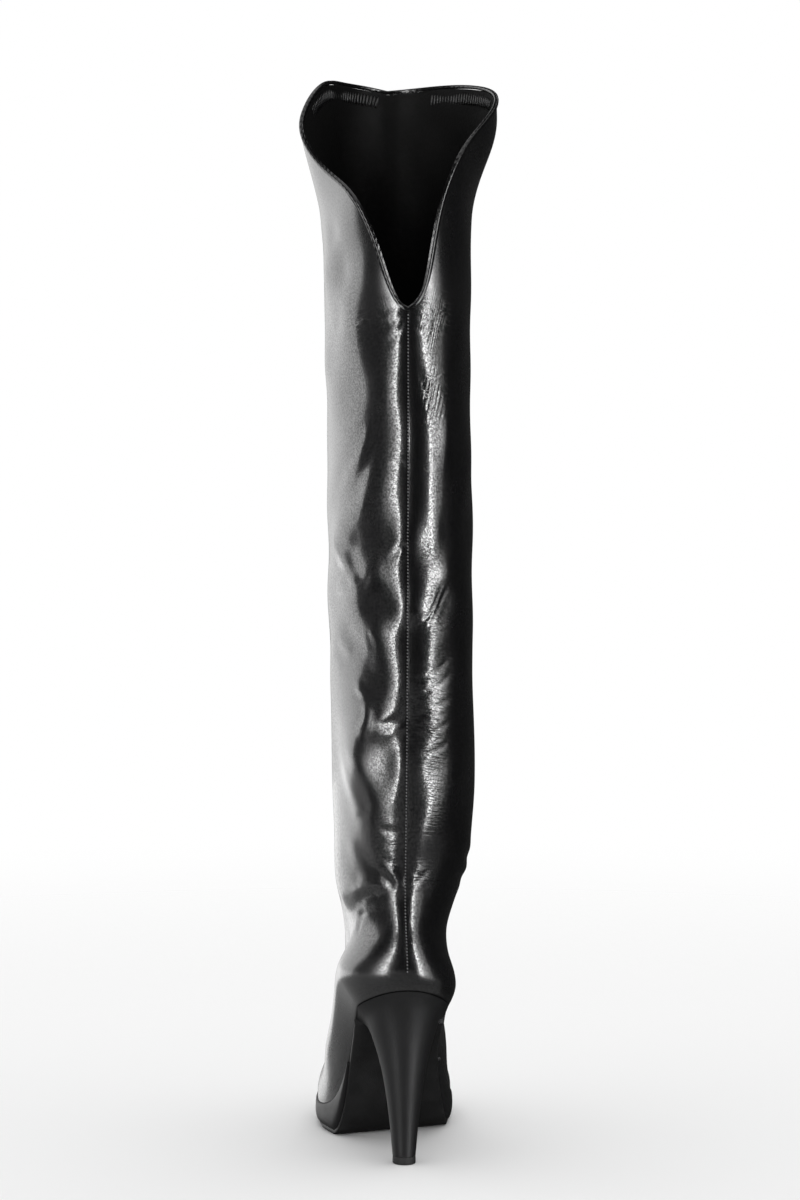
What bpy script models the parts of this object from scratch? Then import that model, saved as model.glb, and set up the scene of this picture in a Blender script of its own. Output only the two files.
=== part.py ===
"""Left tall boot: a pull-on leather upper with a notched collar, on a platform sole with a tapered heel.

Each piece that a maker would put together is an object of its own. Sizes are in millimetres and become
metres where a mesh is made. +Y runs from heel to toe, +X to the inner side of the foot, +Z up. A heading is
an angle round the leg: 0 at the back seam, 180 at the front, on the outer or on the inner side.
"""

import math
from collections import namedtuple

import bpy
import numpy as np
from mathutils import Vector

# Driving dimensions
SHOE_LENGTH = 236.0
BALL_WIDTH = 91.0
HEEL_HEIGHT = 114.0
PLATFORM_HEIGHT = 17.0
NOTCH_HEIGHT = 539.5
BOOT_HEIGHT = 688.0
ANKLE_HEIGHT = 170.0
WALL = 2.0
GAP = 0.3
HEEL_GAP = 0.4
RIM_LIFT = 0.2
INSOLE = 2.5
OUTSOLE = 3.0
TOE_SPRING = 6.0
TOE_DRIFT = 4.0
HEEL_ROUND = 29.0
TOE_ROUND = 68.0
TOE_SQUARE = 2.2
BALL_SKEW = 0.34
CONTACT_START = 126.0
CONTACT_END = 190.0
WAIST_END = 78.0
PLATFORM_START = 85.0
LEDGE = 1.2
BREAST = 50.0
TOP_PIECE = 5.0
SEAM_HEIGHT = 0.7
SEAM_WIDTH = 3.2
BINDING = 2.4
BINDING_PROUD = 0.4
FLARE_START = 597.0
FLARE_END = 663.0
MM = 0.001
OUTER, INNER = -1, 1

# Shares of the shoe's length and ball width, and of the drop from heel seat to ball
Sole = namedtuple("Sole", "along outer inner pitch")
SOLE = (
    Sole(0.00, 0.318, 0.318, 1.000),
    Sole(0.04, 0.322, 0.322, 0.940),
    Sole(0.09, 0.325, 0.325, 0.880),
    Sole(0.19, 0.320, 0.310, 0.765),
    Sole(0.30, 0.322, 0.292, 0.545),
    Sole(0.40, 0.380, 0.320, 0.285),
    Sole(0.49, 0.455, 0.385, 0.105),
    Sole(0.57, 0.507, 0.432, 0.025),
    Sole(0.66, 0.517, 0.458, 0.000),
    Sole(0.80, 0.480, 0.462, 0.006),
    Sole(0.91, 0.420, 0.445, 0.032),
    Sole(1.00, 0.370, 0.430, 0.085),
)

# Where the meridian of a heading leaves the feather line, as a share of the shoe's length
Spread = namedtuple("Spread", "heading along")
SPREAD = (
    Spread(0.0, 0.000),
    Spread(30.0, 0.017),
    Spread(60.0, 0.070),
    Spread(90.0, 0.235),
    Spread(120.0, 0.455),
    Spread(138.0, 0.605),
    Spread(150.0, 0.735),
    Spread(164.0, 0.885),
    Spread(180.0, 1.000),
)

# Level rings of the shaft. Taper narrows the back of a ring, and twist sets its inner side further back
Ring = namedtuple("Ring", "height back front outer inner taper twist")
SHAFT = (
    Ring(170.0, 12.0, 117.0, 40.0, 38.5, 0.32, 0.00),
    Ring(184.0, 11.4, 116.5, 41.0, 44.0, 0.28, 0.02),
    Ring(200.0, 9.4, 117.0, 41.2, 46.5, 0.20, 0.05),
    Ring(225.0, 5.8, 118.5, 41.5, 47.3, 0.11, 0.10),
    Ring(325.0, -3.0, 126.0, 43.5, 46.5, 0.00, 0.18),
    Ring(420.0, -7.0, 133.0, 44.5, 45.5, 0.00, 0.20),
    Ring(517.0, -8.0, 141.0, 45.3, 45.0, 0.00, 0.17),
    Ring(575.0, -8.5, 146.0, 47.2, 45.8, 0.00, 0.10),
    Ring(610.0, -9.5, 149.0, 49.2, 47.0, 0.00, 0.05),
    Ring(690.0, -11.5, 153.0, 49.8, 50.5, 0.00, 0.00),
)

# The climb from feather line to ankle: run and rise shape toe and instep, the others swell the wall in mm
Climb = namedtuple("Climb", "step run rise back outer inner ball")
CLIMB = (
    Climb(0.00, 0.000, 0.000, 0.0, 0.0, 0.0, 0.0),
    Climb(0.08, -0.004, 0.062, 3.2, 3.6, 2.4, -0.6),
    Climb(0.16, 0.024, 0.135, 5.4, 6.6, 3.4, -3.6),
    Climb(0.25, 0.087, 0.200, 6.8, 9.0, 2.4, -6.8),
    Climb(0.34, 0.205, 0.252, 7.0, 8.6, 0.0, -7.4),
    Climb(0.43, 0.365, 0.296, 6.2, 5.4, -2.8, -6.0),
    Climb(0.53, 0.543, 0.356, 4.5, 0.0, -4.6, -4.0),
    Climb(0.63, 0.698, 0.445, 2.3, -3.8, -5.2, -2.2),
    Climb(0.73, 0.828, 0.569, 0.3, -5.2, -4.6, -1.1),
    Climb(0.83, 0.922, 0.719, -0.9, -4.4, -3.0, -0.4),
    Climb(0.92, 0.978, 0.863, -0.9, -2.2, -1.3, 0.0),
    Climb(1.00, 1.000, 1.000, 0.0, 0.0, 0.0, 0.0),
)

# The collar's edge, as shares of the height from the notch's foot to the top
Edge = namedtuple("Edge", "heading outer inner")
COLLAR = (
    Edge(0.0, 0.000, 0.000),
    Edge(5.0, 0.012, 0.018),
    Edge(12.0, 0.058, 0.062),
    Edge(18.0, 0.138, 0.150),
    Edge(25.0, 0.262, 0.350),
    Edge(35.0, 0.404, 0.535),
    Edge(47.0, 0.503, 0.668),
    Edge(60.0, 0.562, 0.762),
    Edge(75.0, 0.640, 0.845),
    Edge(90.0, 0.775, 0.912),
    Edge(105.0, 0.915, 0.958),
    Edge(120.0, 0.990, 0.980),
    Edge(140.0, 1.000, 0.985),
    Edge(165.0, 0.985, 0.975),
    Edge(180.0, 0.968, 0.968),
)

# The collar's corners, bent outward round a heading
Flare = namedtuple("Flare", "reach heading spread")
FLARE = {OUTER: Flare(12.5, 87.0, 24.0), INNER: Flare(14.5, 94.0, 40.0)}

# Heel sections from seat to tip, between its back and its breast
Block = namedtuple("Block", "back_height front_height back front half_width corner")
HEEL = (
    Block(112.0, 88.0, 0.8, 50.0, 29.0, 0.03),
    Block(106.5, 82.5, 3.0, 47.6, 24.4, 0.12),
    Block(97.5, 75.5, 5.2, 40.0, 20.8, 0.20),
    Block(84.0, 65.0, 7.2, 35.0, 17.2, 0.25),
    Block(66.0, 53.0, 8.8, 31.4, 13.8, 0.28),
    Block(45.0, 38.0, 10.2, 28.9, 11.0, 0.28),
    Block(24.0, 21.5, 11.4, 27.4, 8.9, 0.28),
    Block(5.3, 5.3, 12.0, 26.6, 7.4, 0.30),
)
BACK_ARC = 9
SOLVE_STEPS = 20
STRIPS = 5
ARC_DEPTH = 0.62
BREAST_HOLLOW = 0.05

# Stations of the sole layers, and how many more lead to the heel's back and to the toe
WAIST_PLACES = (BREAST + GAP, 58.0, 66.0, 73.0, 80.0, PLATFORM_START - 0.5)
TREAD_PLACES = (
    *(PLATFORM_START, 88.0, 92.0, 96.0, 100.0, 104.0, 108.0, 112.0, 116.0),
    *(120.0, 124.0, 128.0, 133.0, 141.0, 152.0, 165.0, 178.0),
)
HEEL_PLACES = 11
TOE_PLACES = 11
TOE_TIP = 0.25

# Headings of the upper's columns and steps of its rows
BACK_HEADINGS = (0, 2, 4, 8, 14, 21, 29, 38, 48, 57)
SIDE_HEADINGS = (65, 71, 77, 83, 89, 95, 102, 109, 116, 123, 130)
TOE_HEADINGS = (137, 144, 151, 158, 164, 169, 173, 176.5, 180)
HEADINGS = BACK_HEADINGS + SIDE_HEADINGS + TOE_HEADINGS
SHAFT_STEPS = 18

Finish = namedtuple("Finish", "colour roughness metallic")
FINISHES = {
    "black_calf_leather": Finish((0.010, 0.010, 0.011), 0.22, 0.0),
    "black_binding_leather": Finish((0.014, 0.014, 0.015), 0.35, 0.0),
    "black_sock_leather": Finish((0.016, 0.015, 0.015), 0.60, 0.0),
    "black_platform_leather": Finish((0.016, 0.016, 0.018), 0.32, 0.0),
    "black_sole_leather": Finish((0.012, 0.012, 0.012), 0.45, 0.0),
    "black_heel_cover": Finish((0.018, 0.018, 0.020), 0.38, 0.0),
    "black_rubber": Finish((0.020, 0.020, 0.020), 0.70, 0.0),
}


def curve(rows, key, value, flat=False):
    """A smooth cubic curve through two columns of a table, with level ends if flat."""
    xs = np.array([getattr(row, key) for row in rows])
    ys = np.array([getattr(row, value) for row in rows])
    spans = np.diff(xs)
    slopes = np.diff(ys) / spans
    last = len(xs) - 1
    matrix = np.zeros((last + 1, last + 1))
    right = np.zeros(last + 1)
    matrix[0, 0] = matrix[last, last] = 2.0
    if not flat:
        matrix[0, 1] = matrix[last, last - 1] = 1.0
        right[0], right[last] = 3 * slopes[0], 3 * slopes[-1]
    for i in range(1, last):
        matrix[i, i - 1] = 1 / spans[i - 1]
        matrix[i, i + 1] = 1 / spans[i]
        matrix[i, i] = 2 * (matrix[i, i - 1] + matrix[i, i + 1])
        right[i] = 3 * (slopes[i - 1] / spans[i - 1] + slopes[i] / spans[i])
    tangents = np.linalg.solve(matrix, right)

    def at(x):
        x = min(max(x, xs[0]), xs[-1])
        i = min(int(np.searchsorted(xs, x, side="right")) - 1, last - 1)
        t = (x - xs[i]) / spans[i]
        start = ys[i] * (1 + 2 * t) * (1 - t) ** 2 + spans[i] * tangents[i] * t * (1 - t) ** 2
        end = ys[i + 1] * t * t * (3 - 2 * t) + spans[i] * tangents[i + 1] * t * t * (t - 1)
        return start + end

    return at


SOLE_OUTER = curve(SOLE, "along", "outer")
SOLE_INNER = curve(SOLE, "along", "inner")
SOLE_PITCH = curve(SOLE, "along", "pitch")
SPREAD_ALONG = curve(SPREAD, "heading", "along", True)
RING_BACK = curve(SHAFT, "height", "back")
RING_FRONT = curve(SHAFT, "height", "front")
RING_TAPER = curve(SHAFT, "height", "taper")
RING_TWIST = curve(SHAFT, "height", "twist")
RING_WIDTH = {OUTER: curve(SHAFT, "height", "outer"), INNER: curve(SHAFT, "height", "inner")}
CLIMB_RUN = curve(CLIMB, "step", "run")
CLIMB_RISE = curve(CLIMB, "step", "rise")
CLIMB_BACK = curve(CLIMB, "step", "back")
CLIMB_BALL = curve(CLIMB, "step", "ball")
CLIMB_SIDE = {OUTER: curve(CLIMB, "step", "outer"), INNER: curve(CLIMB, "step", "inner")}
COLLAR_EDGE = {OUTER: curve(COLLAR, "heading", "outer"), INNER: curve(COLLAR, "heading", "inner")}


def ease(x, start, end):
    """0 before start, 1 after end, smooth between."""
    t = min(max((x - start) / (end - start), 0.0), 1.0)
    return t * t * (3 - 2 * t)


def blend(a, b, t):
    return a + (b - a) * t


def sole_edge(y, side, inset):
    """X of the sole's outline at y, moved inward by inset."""
    start, end = inset, SHOE_LENGTH - inset
    share = min(max(y, 0.0), SHOE_LENGTH) / SHOE_LENGTH
    half = BALL_WIDTH * (SOLE_OUTER if side == OUTER else SOLE_INNER)(share) - inset
    heel = min(max((start + HEEL_ROUND - y) / HEEL_ROUND, 0.0), 1.0)
    toe = min(max((y - end + TOE_ROUND) / TOE_ROUND, 0.0), 1.0)
    half *= math.sqrt(max(1 - heel**2, 0.0))
    half *= max(1 - toe**TOE_SQUARE, 0.0) ** (1 / TOE_SQUARE)
    return TOE_DRIFT * ease(y, 0.5 * SHOE_LENGTH, SHOE_LENGTH) + side * half


def skew(s):
    """How far the line across the foot runs forward to the inner side, for each mm of width."""
    return BALL_SKEW * ease(s, 40.0, 125.0) * (1 - ease(s, 165.0, 225.0))


def station(x, y):
    """Place along the last of a point, found on the slanted line across the foot that it lies on."""
    s = y
    for _ in range(SOLVE_STEPS):
        s = y - skew(s) * x
    return s


def line_end(s, side, inset):
    """Where the line across the foot at a station meets the outline."""
    y = s
    for _ in range(SOLVE_STEPS):
        y = s + skew(s) * sole_edge(y, side, inset)
    return sole_edge(y, side, inset), y


def seat_at(s):
    """Height of the feather surface at a station."""
    return PLATFORM_HEIGHT + (HEEL_HEIGHT - PLATFORM_HEIGHT) * SOLE_PITCH(s / SHOE_LENGTH)


def seat(x, y):
    """Height of the feather surface, where upper and insole stand."""
    return seat_at(station(x, y))


def waist_under(s):
    """Height of the underside at the waist, one outsole below the feather surface."""
    slope = seat_at(s + 0.5) - seat_at(s - 0.5)
    return seat_at(s) - GAP - OUTSOLE * math.hypot(1.0, slope)


def ground_at(s):
    """Height of the outsole's underside at a station: waist, flat tread and toe spring."""
    if s < WAIST_END:
        return waist_under(s)
    if s < CONTACT_START:
        span = CONTACT_START - WAIST_END
        t = (s - WAIST_END) / span
        slope = waist_under(WAIST_END) - waist_under(WAIST_END - 1.0)
        return waist_under(WAIST_END) * (1 + 2 * t) * (1 - t) ** 2 + slope * span * t * (1 - t) ** 2
    if s < CONTACT_END:
        return 0.0
    return TOE_SPRING * ((s - CONTACT_END) / (SHOE_LENGTH - CONTACT_END)) ** 2


def outsole_top(s):
    """Height of the outsole's upper side, under the upper at the waist and under the platform before it."""
    return ground_at(s) + OUTSOLE if s >= PLATFORM_START else seat_at(s) - GAP


def feather_point(side, heading):
    y = SHOE_LENGTH * SPREAD_ALONG(heading)
    x = sole_edge(y, side, 0.0)
    return np.array((x, y, seat(x, y) + RIM_LIFT))


def shaft_point(side, heading, height):
    """A point of the shaft's outer face, with the collar's flared corners."""
    angle = math.radians(heading)
    back, front = RING_BACK(height), RING_FRONT(height)
    flare = FLARE[side]
    lean = math.exp(-(((heading - flare.heading) / flare.spread) ** 2))
    out = flare.reach * lean * ease(height, FLARE_START, FLARE_END)
    narrow = 1 - RING_TAPER(height) * max(math.cos(angle), 0.0) ** 2
    x = side * (RING_WIDTH[side](height) + out) * math.sin(angle) * narrow
    y = (back + front) / 2 - (front - back) / 2 * math.cos(angle) - RING_TWIST(height) * x
    return np.array((x, y, height))


def foot_point(side, heading, step):
    """A point between the feather line and the ankle ring."""
    start, end = feather_point(side, heading), shaft_point(side, heading, ANKLE_HEIGHT)
    angle = math.radians(heading)
    toe = ease(start[1], 55.0, 150.0)
    run = blend(step, CLIMB_RUN(step), toe)
    rise = blend(step, CLIMB_RISE(step), toe)
    quarter = math.sin(angle) ** 2 * (1 - ease(start[1], 100.0, 150.0))
    counter = max(math.cos(angle), 0.0) ** 2
    ball = ease(start[1], 112.0, 155.0) * min(2 * math.sin(angle), 1.0)
    swell = counter * CLIMB_BACK(step) + quarter * CLIMB_SIDE[side](step)
    outward = np.array((side * math.sin(angle), -math.cos(angle), 0.0))
    plan = blend(start, end, run) + outward * swell
    return np.array((plan[0] + side * ball * CLIMB_BALL(step), plan[1], blend(start[2], end[2], rise)))


def collar_height(side, heading):
    return blend(NOTCH_HEIGHT, BOOT_HEIGHT - BINDING - GAP, COLLAR_EDGE[side](heading))


def upper_columns():
    """Sides and headings of the columns, once round the leg."""
    outer = [(OUTER, heading) for heading in HEADINGS]
    return outer + [(INNER, heading) for heading in reversed(HEADINGS[1:-1])]


def upper_grid():
    """The outer face of the upper, a row of points for each step up."""
    columns = upper_columns()
    rows = [[foot_point(side, heading, climb.step) for side, heading in columns] for climb in CLIMB[:-1]]
    for i in range(SHAFT_STEPS + 1):
        share = i / SHAFT_STEPS
        rows.append(
            [shaft_point(s, h, blend(ANKLE_HEIGHT, collar_height(s, h), share)) for s, h in columns]
        )
    return np.array(rows)


def grid_normals(grid):
    """Outward normals of a grid that closes round its columns."""
    across = np.roll(grid, -1, axis=1) - np.roll(grid, 1, axis=1)
    along = np.gradient(grid, axis=0)
    normals = np.cross(along, across)
    return normals / np.linalg.norm(normals, axis=2, keepdims=True)


def with_seam(grid, normals):
    """The grid with the back seam raised as a step in its wall."""
    raised = grid.copy()
    for j in range(grid.shape[1]):
        away = np.linalg.norm(grid[:, j] - grid[:, 0], axis=1)
        height = SEAM_HEIGHT * np.clip(1.5 - 2 * away / SEAM_WIDTH, 0.0, 1.0)
        raised[:, j] += normals[:, j] * height[:, None]
    return raised


def ring_faces(rows, columns, first=0, flip=False):
    """Quads between the rows of a grid that closes round its columns."""
    faces = []
    for i in range(rows - 1):
        for j in range(columns):
            k = (j + 1) % columns
            a, b = first + i * columns + j, first + i * columns + k
            c, d = b + columns, a + columns
            faces.append((d, c, b, a) if flip else (a, b, c, d))
    return faces


def make_piece(name, points, faces, finish, root):
    """A named object from points in millimetres, with its own material."""
    mesh = bpy.data.meshes.new(name)
    mesh.from_pydata([tuple(float(v) * MM for v in point) for point in points], [], faces)
    mesh.update()
    piece = bpy.data.objects.new(name, mesh)
    bpy.context.collection.objects.link(piece)
    piece.parent = root
    material = bpy.data.materials.new(finish)
    material.use_nodes = True
    shader = material.node_tree.nodes["Principled BSDF"]
    look = FINISHES[finish]
    shader.inputs["Base Color"].default_value = (*look.colour, 1.0)
    shader.inputs["Roughness"].default_value = look.roughness
    shader.inputs["Metallic"].default_value = look.metallic
    mesh.materials.append(material)
    return piece


def build_upper(root):
    """Foot and shaft as one hollow wall, open at the collar and underneath."""
    plain = upper_grid()
    normals = grid_normals(plain)
    outer = with_seam(plain, normals)
    inner = plain - normals * WALL
    for point in inner[0]:
        point[2] = seat(point[0], point[1]) + RIM_LIFT
    rows, columns = plain.shape[:2]
    count = rows * columns
    top = count - columns
    points = np.concatenate([outer.reshape(-1, 3), inner.reshape(-1, 3)])
    faces = ring_faces(rows, columns, 0, True) + ring_faces(rows, columns, count)
    for j in range(columns):
        k = (j + 1) % columns
        faces.append((j, k, count + k, count + j))
        faces.append((top + k, top + j, count + top + j, count + top + k))
    return make_piece("upper", points, faces, "black_calf_leather", root)


def build_binding(root):
    """The rolled edge round the collar, just above the wall's rim."""
    grid = upper_grid()
    normals = grid_normals(grid)[-1]
    rim = grid[-1]
    edge = np.roll(rim, -1, axis=0) - np.roll(rim, 1, axis=0)
    rise = np.cross(edge, normals)
    rise /= np.linalg.norm(rise, axis=1, keepdims=True)
    outside, inside = BINDING_PROUD, -WALL - BINDING_PROUD
    profile = (
        (outside, GAP),
        (outside + 0.15, GAP + 0.45 * BINDING),
        (blend(outside, inside, 0.25), GAP + BINDING),
        (blend(outside, inside, 0.75), GAP + BINDING),
        (inside - 0.15, GAP + 0.45 * BINDING),
        (inside, GAP),
    )
    columns = len(rim)
    points = np.concatenate([rim + normals * out + rise * up for out, up in profile])
    faces = ring_faces(len(profile), columns, 0, True)
    last = (len(profile) - 1) * columns
    for j in range(columns):
        k = (j + 1) % columns
        faces.append((j, k, last + k, last + j))
    return make_piece("collar_binding", points, faces, "black_binding_leather", root)


def rail_points(places, inset, height):
    """Edge points of a sole layer on its outer and inner side, on the slanted lines across the foot."""
    points = []
    end = SHOE_LENGTH - inset(SHOE_LENGTH)
    toe = [blend(CONTACT_END, end, math.sin(math.pi / 2 * i / TOE_PLACES)) for i in range(TOE_PLACES)]
    for s in [*places, *toe, end - TOE_TIP]:
        ends = [line_end(s, side, inset(s)) for side in (OUTER, INNER)]
        points.append([(x, y, height(s)) for x, y in ends])
    return points


def slab_cap(rails, first):
    """Faces across a section of a sole layer, between the rails of its two sides."""
    across = STRIPS - 1
    inner = list(range(first, first + rails))
    outer = list(range(first + 2 * rails + across - 1, first + rails + across - 1, -1))
    under = list(range(first + rails, first + rails + across))
    over = list(range(first + 2 * rails + across, first + 2 * rails + 2 * across))
    faces = []
    for i in range(rails - 1):
        low = under if i == rails - 2 else []
        high = over if i == 0 else []
        faces.append((inner[i], inner[i + 1], *low, outer[i + 1], outer[i], *high))
    return faces


def build_slab(name, places, rails, finish, root):
    """A sole layer lofted along the foot. Each rail, from top edge to bottom, has an inset and a height."""
    edges = [rail_points(places, inset, height) for inset, height in rails]
    count = len(edges[0])
    points = []
    for i in range(count):
        inner = [np.array(rail[i][1]) for rail in edges]
        outer = [np.array(rail[i][0]) for rail in reversed(edges)]
        under = [blend(inner[-1], outer[0], k / STRIPS) for k in range(1, STRIPS)]
        over = [blend(outer[-1], inner[0], k / STRIPS) for k in range(1, STRIPS)]
        points += inner + under + outer + over
    size = len(points) // count
    faces = ring_faces(count, size)
    faces += [tuple(reversed(face)) for face in slab_cap(len(edges), 0)]
    faces += slab_cap(len(edges), (count - 1) * size)
    return make_piece(name, points, faces, finish, root)


def heel_ring(block):
    """A D-shaped section of the heel: from beside the back by the inner side, breast and outer side."""
    arc = [math.radians(90.0 * i / BACK_ARC) for i in range(1, BACK_ARC + 1)]
    half = [(math.sin(a), ARC_DEPTH * (1 - math.cos(a))) for a in arc]
    for share in (0.25, 0.5, 0.75, 1.0):
        half.append((1 - block.corner * share**2, blend(ARC_DEPTH, 1.0, share)))
    half.append((0.45, 1 - BREAST_HOLLOW * 0.8))
    outline = half + [(0.0, 1 - BREAST_HOLLOW)] + [(-x, y) for x, y in reversed(half)] + [(0.0, 0.0)]
    ring = []
    for x, y in outline:
        place = blend(block.back, block.front, y)
        ring.append((x * block.half_width, place, blend(block.back_height, block.front_height, y)))
    return ring


def heel_caps(count, first, flip):
    """Faces across a heel section, between the points that mirror each other."""
    half = count // 2 - 1
    far = first + count - 2
    faces = [(first + i, first + i + 1, far - 1 - i, far - i) for i in range(half - 1)]
    faces.append((first + half - 1, first + half, first + half + 1))
    faces.append((far + 1, first, far))
    return [tuple(reversed(face)) for face in faces] if flip else faces


def build_block(name, rings, finish, root):
    """Heel sections lofted from top to bottom."""
    count = len(rings[0])
    points = [point for ring in rings for point in ring]
    faces = ring_faces(len(rings), count, 0, True)
    faces += heel_caps(count, 0, False)
    faces += heel_caps(count, (len(rings) - 1) * count, True)
    return make_piece(name, points, faces, finish, root)


def build_heel(root):
    """The tapered heel, its top cut to the heel seat and its breast swept forward."""
    rings = [heel_ring(block) for block in HEEL]
    rings[0] = [(x, y, seat(x, y) - HEEL_GAP) for x, y, _ in rings[0]]
    return build_block("heel", rings, "black_heel_cover", root)


def build_top_piece(root):
    """The rubber tip, flat on the floor."""
    tip = HEEL[-1]
    rings = []
    for height, trim in ((TOP_PIECE, 0.1), (0.8, 0.0), (0.0, 0.5)):
        half_width = tip.half_width - trim
        block = Block(height, height, tip.back + trim, tip.front - trim, half_width, tip.corner)
        rings.append(heel_ring(block))
    return build_block("heel_top_piece", rings, "black_rubber", root)


def build_insole(root):
    """The footbed inside the upper."""
    inset = WALL + 0.8
    rails = (
        (lambda s: inset, lambda s: seat_at(s) + INSOLE),
        (lambda s: inset, lambda s: seat_at(s) + GAP),
    )
    turns = [math.pi / 2 * i / HEEL_PLACES for i in range(HEEL_PLACES)]
    heel = [blend(inset + GAP, BREAST, 1 - math.cos(turn)) for turn in turns]
    return build_slab("insole", [*heel, *WAIST_PLACES, *TREAD_PLACES], rails, "black_sock_leather", root)


def build_platform(root):
    """The covered wedge under the forefoot, run out at the waist."""

    def level(share):
        return lambda s: blend(seat_at(s) - GAP, outsole_top(s) + GAP, share)

    def proud(amount):
        return lambda s: amount

    rails = (
        (proud(0.4 - LEDGE), level(0.0)),
        (proud(-LEDGE), level(0.08)),
        (proud(-LEDGE - 0.3), level(0.45)),
        (proud(-LEDGE), level(0.75)),
        (proud(0.0), level(0.92)),
        (proud(1.4), level(1.0)),
    )
    return build_slab("platform", TREAD_PLACES, rails, "black_platform_leather", root)


def build_outsole(root):
    """The thin sheet under waist and platform, flat where it treads."""

    def edge(s):
        return blend(-0.5, 1.5, ease(s, WAIST_END - 5.0, WAIST_END + 25.0))

    rails = (
        (edge, outsole_top),
        (edge, lambda s: blend(outsole_top(s), ground_at(s), 0.7)),
        (lambda s: edge(s) + 0.8, ground_at),
    )
    return build_slab("outsole", WAIST_PLACES + TREAD_PLACES, rails, "black_sole_leather", root)


def centre_on_floor(root):
    """Moves the boot so that its box stands on the origin."""
    corners = []
    for piece in root.children:
        corners += [vertex.co for vertex in piece.data.vertices]
    low = Vector([min(corner[i] for corner in corners) for i in range(3)])
    high = Vector([max(corner[i] for corner in corners) for i in range(3)])
    root.location = (-(low.x + high.x) / 2, -(low.y + high.y) / 2, -low.z)


def main():
    for old in list(bpy.data.objects):
        bpy.data.objects.remove(old, do_unlink=True)
    root = bpy.data.objects.new("boot", None)
    bpy.context.collection.objects.link(root)
    build_upper(root)
    build_binding(root)
    build_insole(root)
    build_platform(root)
    build_outsole(root)
    build_heel(root)
    build_top_piece(root)
    centre_on_floor(root)


main()
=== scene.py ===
"""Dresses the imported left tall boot: glossy black upper, covered platform and heel, in a plain white studio.

Sizes are in millimetres on the last: +Y from heel to toe, +X to the inner side of the foot, +Z up. They
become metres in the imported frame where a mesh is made. A turn is an angle round the leg, 0 at the back seam
and 180 at the front, below 0 on the outer side and above 0 on the inner side.
"""

import logging
import math
from collections.abc import Callable, Sequence
from dataclasses import dataclass, field
from enum import Enum
from typing import NamedTuple, TypeVar

import bpy
import numpy as np
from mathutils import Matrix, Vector


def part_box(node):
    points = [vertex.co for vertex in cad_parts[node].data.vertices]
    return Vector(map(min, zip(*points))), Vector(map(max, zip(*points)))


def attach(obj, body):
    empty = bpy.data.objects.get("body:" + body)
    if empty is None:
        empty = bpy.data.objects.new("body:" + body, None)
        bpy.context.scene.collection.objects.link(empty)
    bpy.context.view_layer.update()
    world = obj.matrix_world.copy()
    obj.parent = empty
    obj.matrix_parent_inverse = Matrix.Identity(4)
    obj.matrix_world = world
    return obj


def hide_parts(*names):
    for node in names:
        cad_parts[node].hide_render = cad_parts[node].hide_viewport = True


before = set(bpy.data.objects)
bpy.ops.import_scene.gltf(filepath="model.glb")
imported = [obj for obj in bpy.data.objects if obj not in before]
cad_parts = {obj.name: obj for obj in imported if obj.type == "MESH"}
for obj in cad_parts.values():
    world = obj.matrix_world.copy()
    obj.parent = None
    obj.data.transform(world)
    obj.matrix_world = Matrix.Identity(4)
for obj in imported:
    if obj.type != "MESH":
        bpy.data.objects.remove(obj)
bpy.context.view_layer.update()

LOG = logging.getLogger("tall_boot")
MM = 0.001
BODY = "root"
Array = np.ndarray
Height = Callable[[Array], Array]
Row = TypeVar("Row")
# A Wave texture repeats after this length at scale 1
WAVE_LENGTH = math.tau / 20


class Side(Enum):
    """The two sides of a foot, by the sign of X."""

    OUTER = -1
    INNER = 1


class Mark(Enum):
    """What the leather shows in places, and the mesh attribute that says where."""

    LEVEL = "level_wrinkles"
    FALLING = "falling_wrinkles"
    SOFT = "soft_gloss"


class SoleRow(NamedTuple):
    """Shares of the length and ball width, and of the drop from heel seat to ball."""

    along: float
    outer: float
    inner: float
    pitch: float


class SpreadRow(NamedTuple):
    """Where the meridian of a heading leaves the feather line, as a share of the length."""

    heading: float
    along: float


class RingRow(NamedTuple):
    """A level ring of the shaft. Taper narrows its back, twist sets its inner side further back."""

    height: float
    back: float
    front: float
    outer: float
    inner: float
    taper: float
    twist: float


class ClimbRow(NamedTuple):
    """The climb from feather line to ankle: run and rise shape toe and instep, the rest swell the wall."""

    step: float
    run: float
    rise: float
    back: float
    outer: float
    inner: float
    ball: float


class EdgeRow(NamedTuple):
    """The collar's edge, as shares of the height from the notch's foot to the top."""

    heading: float
    outer: float
    inner: float


class FlareRow(NamedTuple):
    """A corner of the collar, bent outward round a heading."""

    reach: float
    heading: float
    spread: float


class BlockRow(NamedTuple):
    """A section of the heel between its back and its breast."""

    place: float
    back_height: float
    front_height: float
    back: float
    front: float
    half_width: float
    corner: float


class Crease(NamedTuple):
    """A soft trough, or a ridge where its depth is below 0, through three (turn, height) points."""

    start: tuple[float, float]
    middle: tuple[float, float]
    end: tuple[float, float]
    depth: float
    width: float


class Swell(NamedTuple):
    """A soft rise or hollow of the leather, with its reach round and up the leg."""

    turn: float
    height: float
    round_reach: float
    up_reach: float
    rise: float


class Patch(NamedTuple):
    """A place where fine wrinkles gather or the gloss is soft, with its reach in degrees and millimetres."""

    mark: Mark
    turn: float
    height: float
    turn_reach: float
    up_reach: float
    strength: float


class VampFold(NamedTuple):
    """A flex line across the vamp, seen from above."""

    outer_x: float
    outer_y: float
    inner_x: float
    inner_y: float
    depth: float
    width: float


class SideRow(NamedTuple):
    """A rail down a sole layer's side: how far inside the outline, and a share of the way down."""

    inset: float
    share: float


class TipRow(NamedTuple):
    """A section of the rubber tip, and how far it is trimmed in."""

    height: float
    trim: float


class Bead(NamedTuple):
    """One stitch or pleat of a row, in millimetres, and its slant to the row in degrees."""

    spacing: float
    length: float
    width: float
    thickness: float
    lift: float
    slant: float


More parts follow.
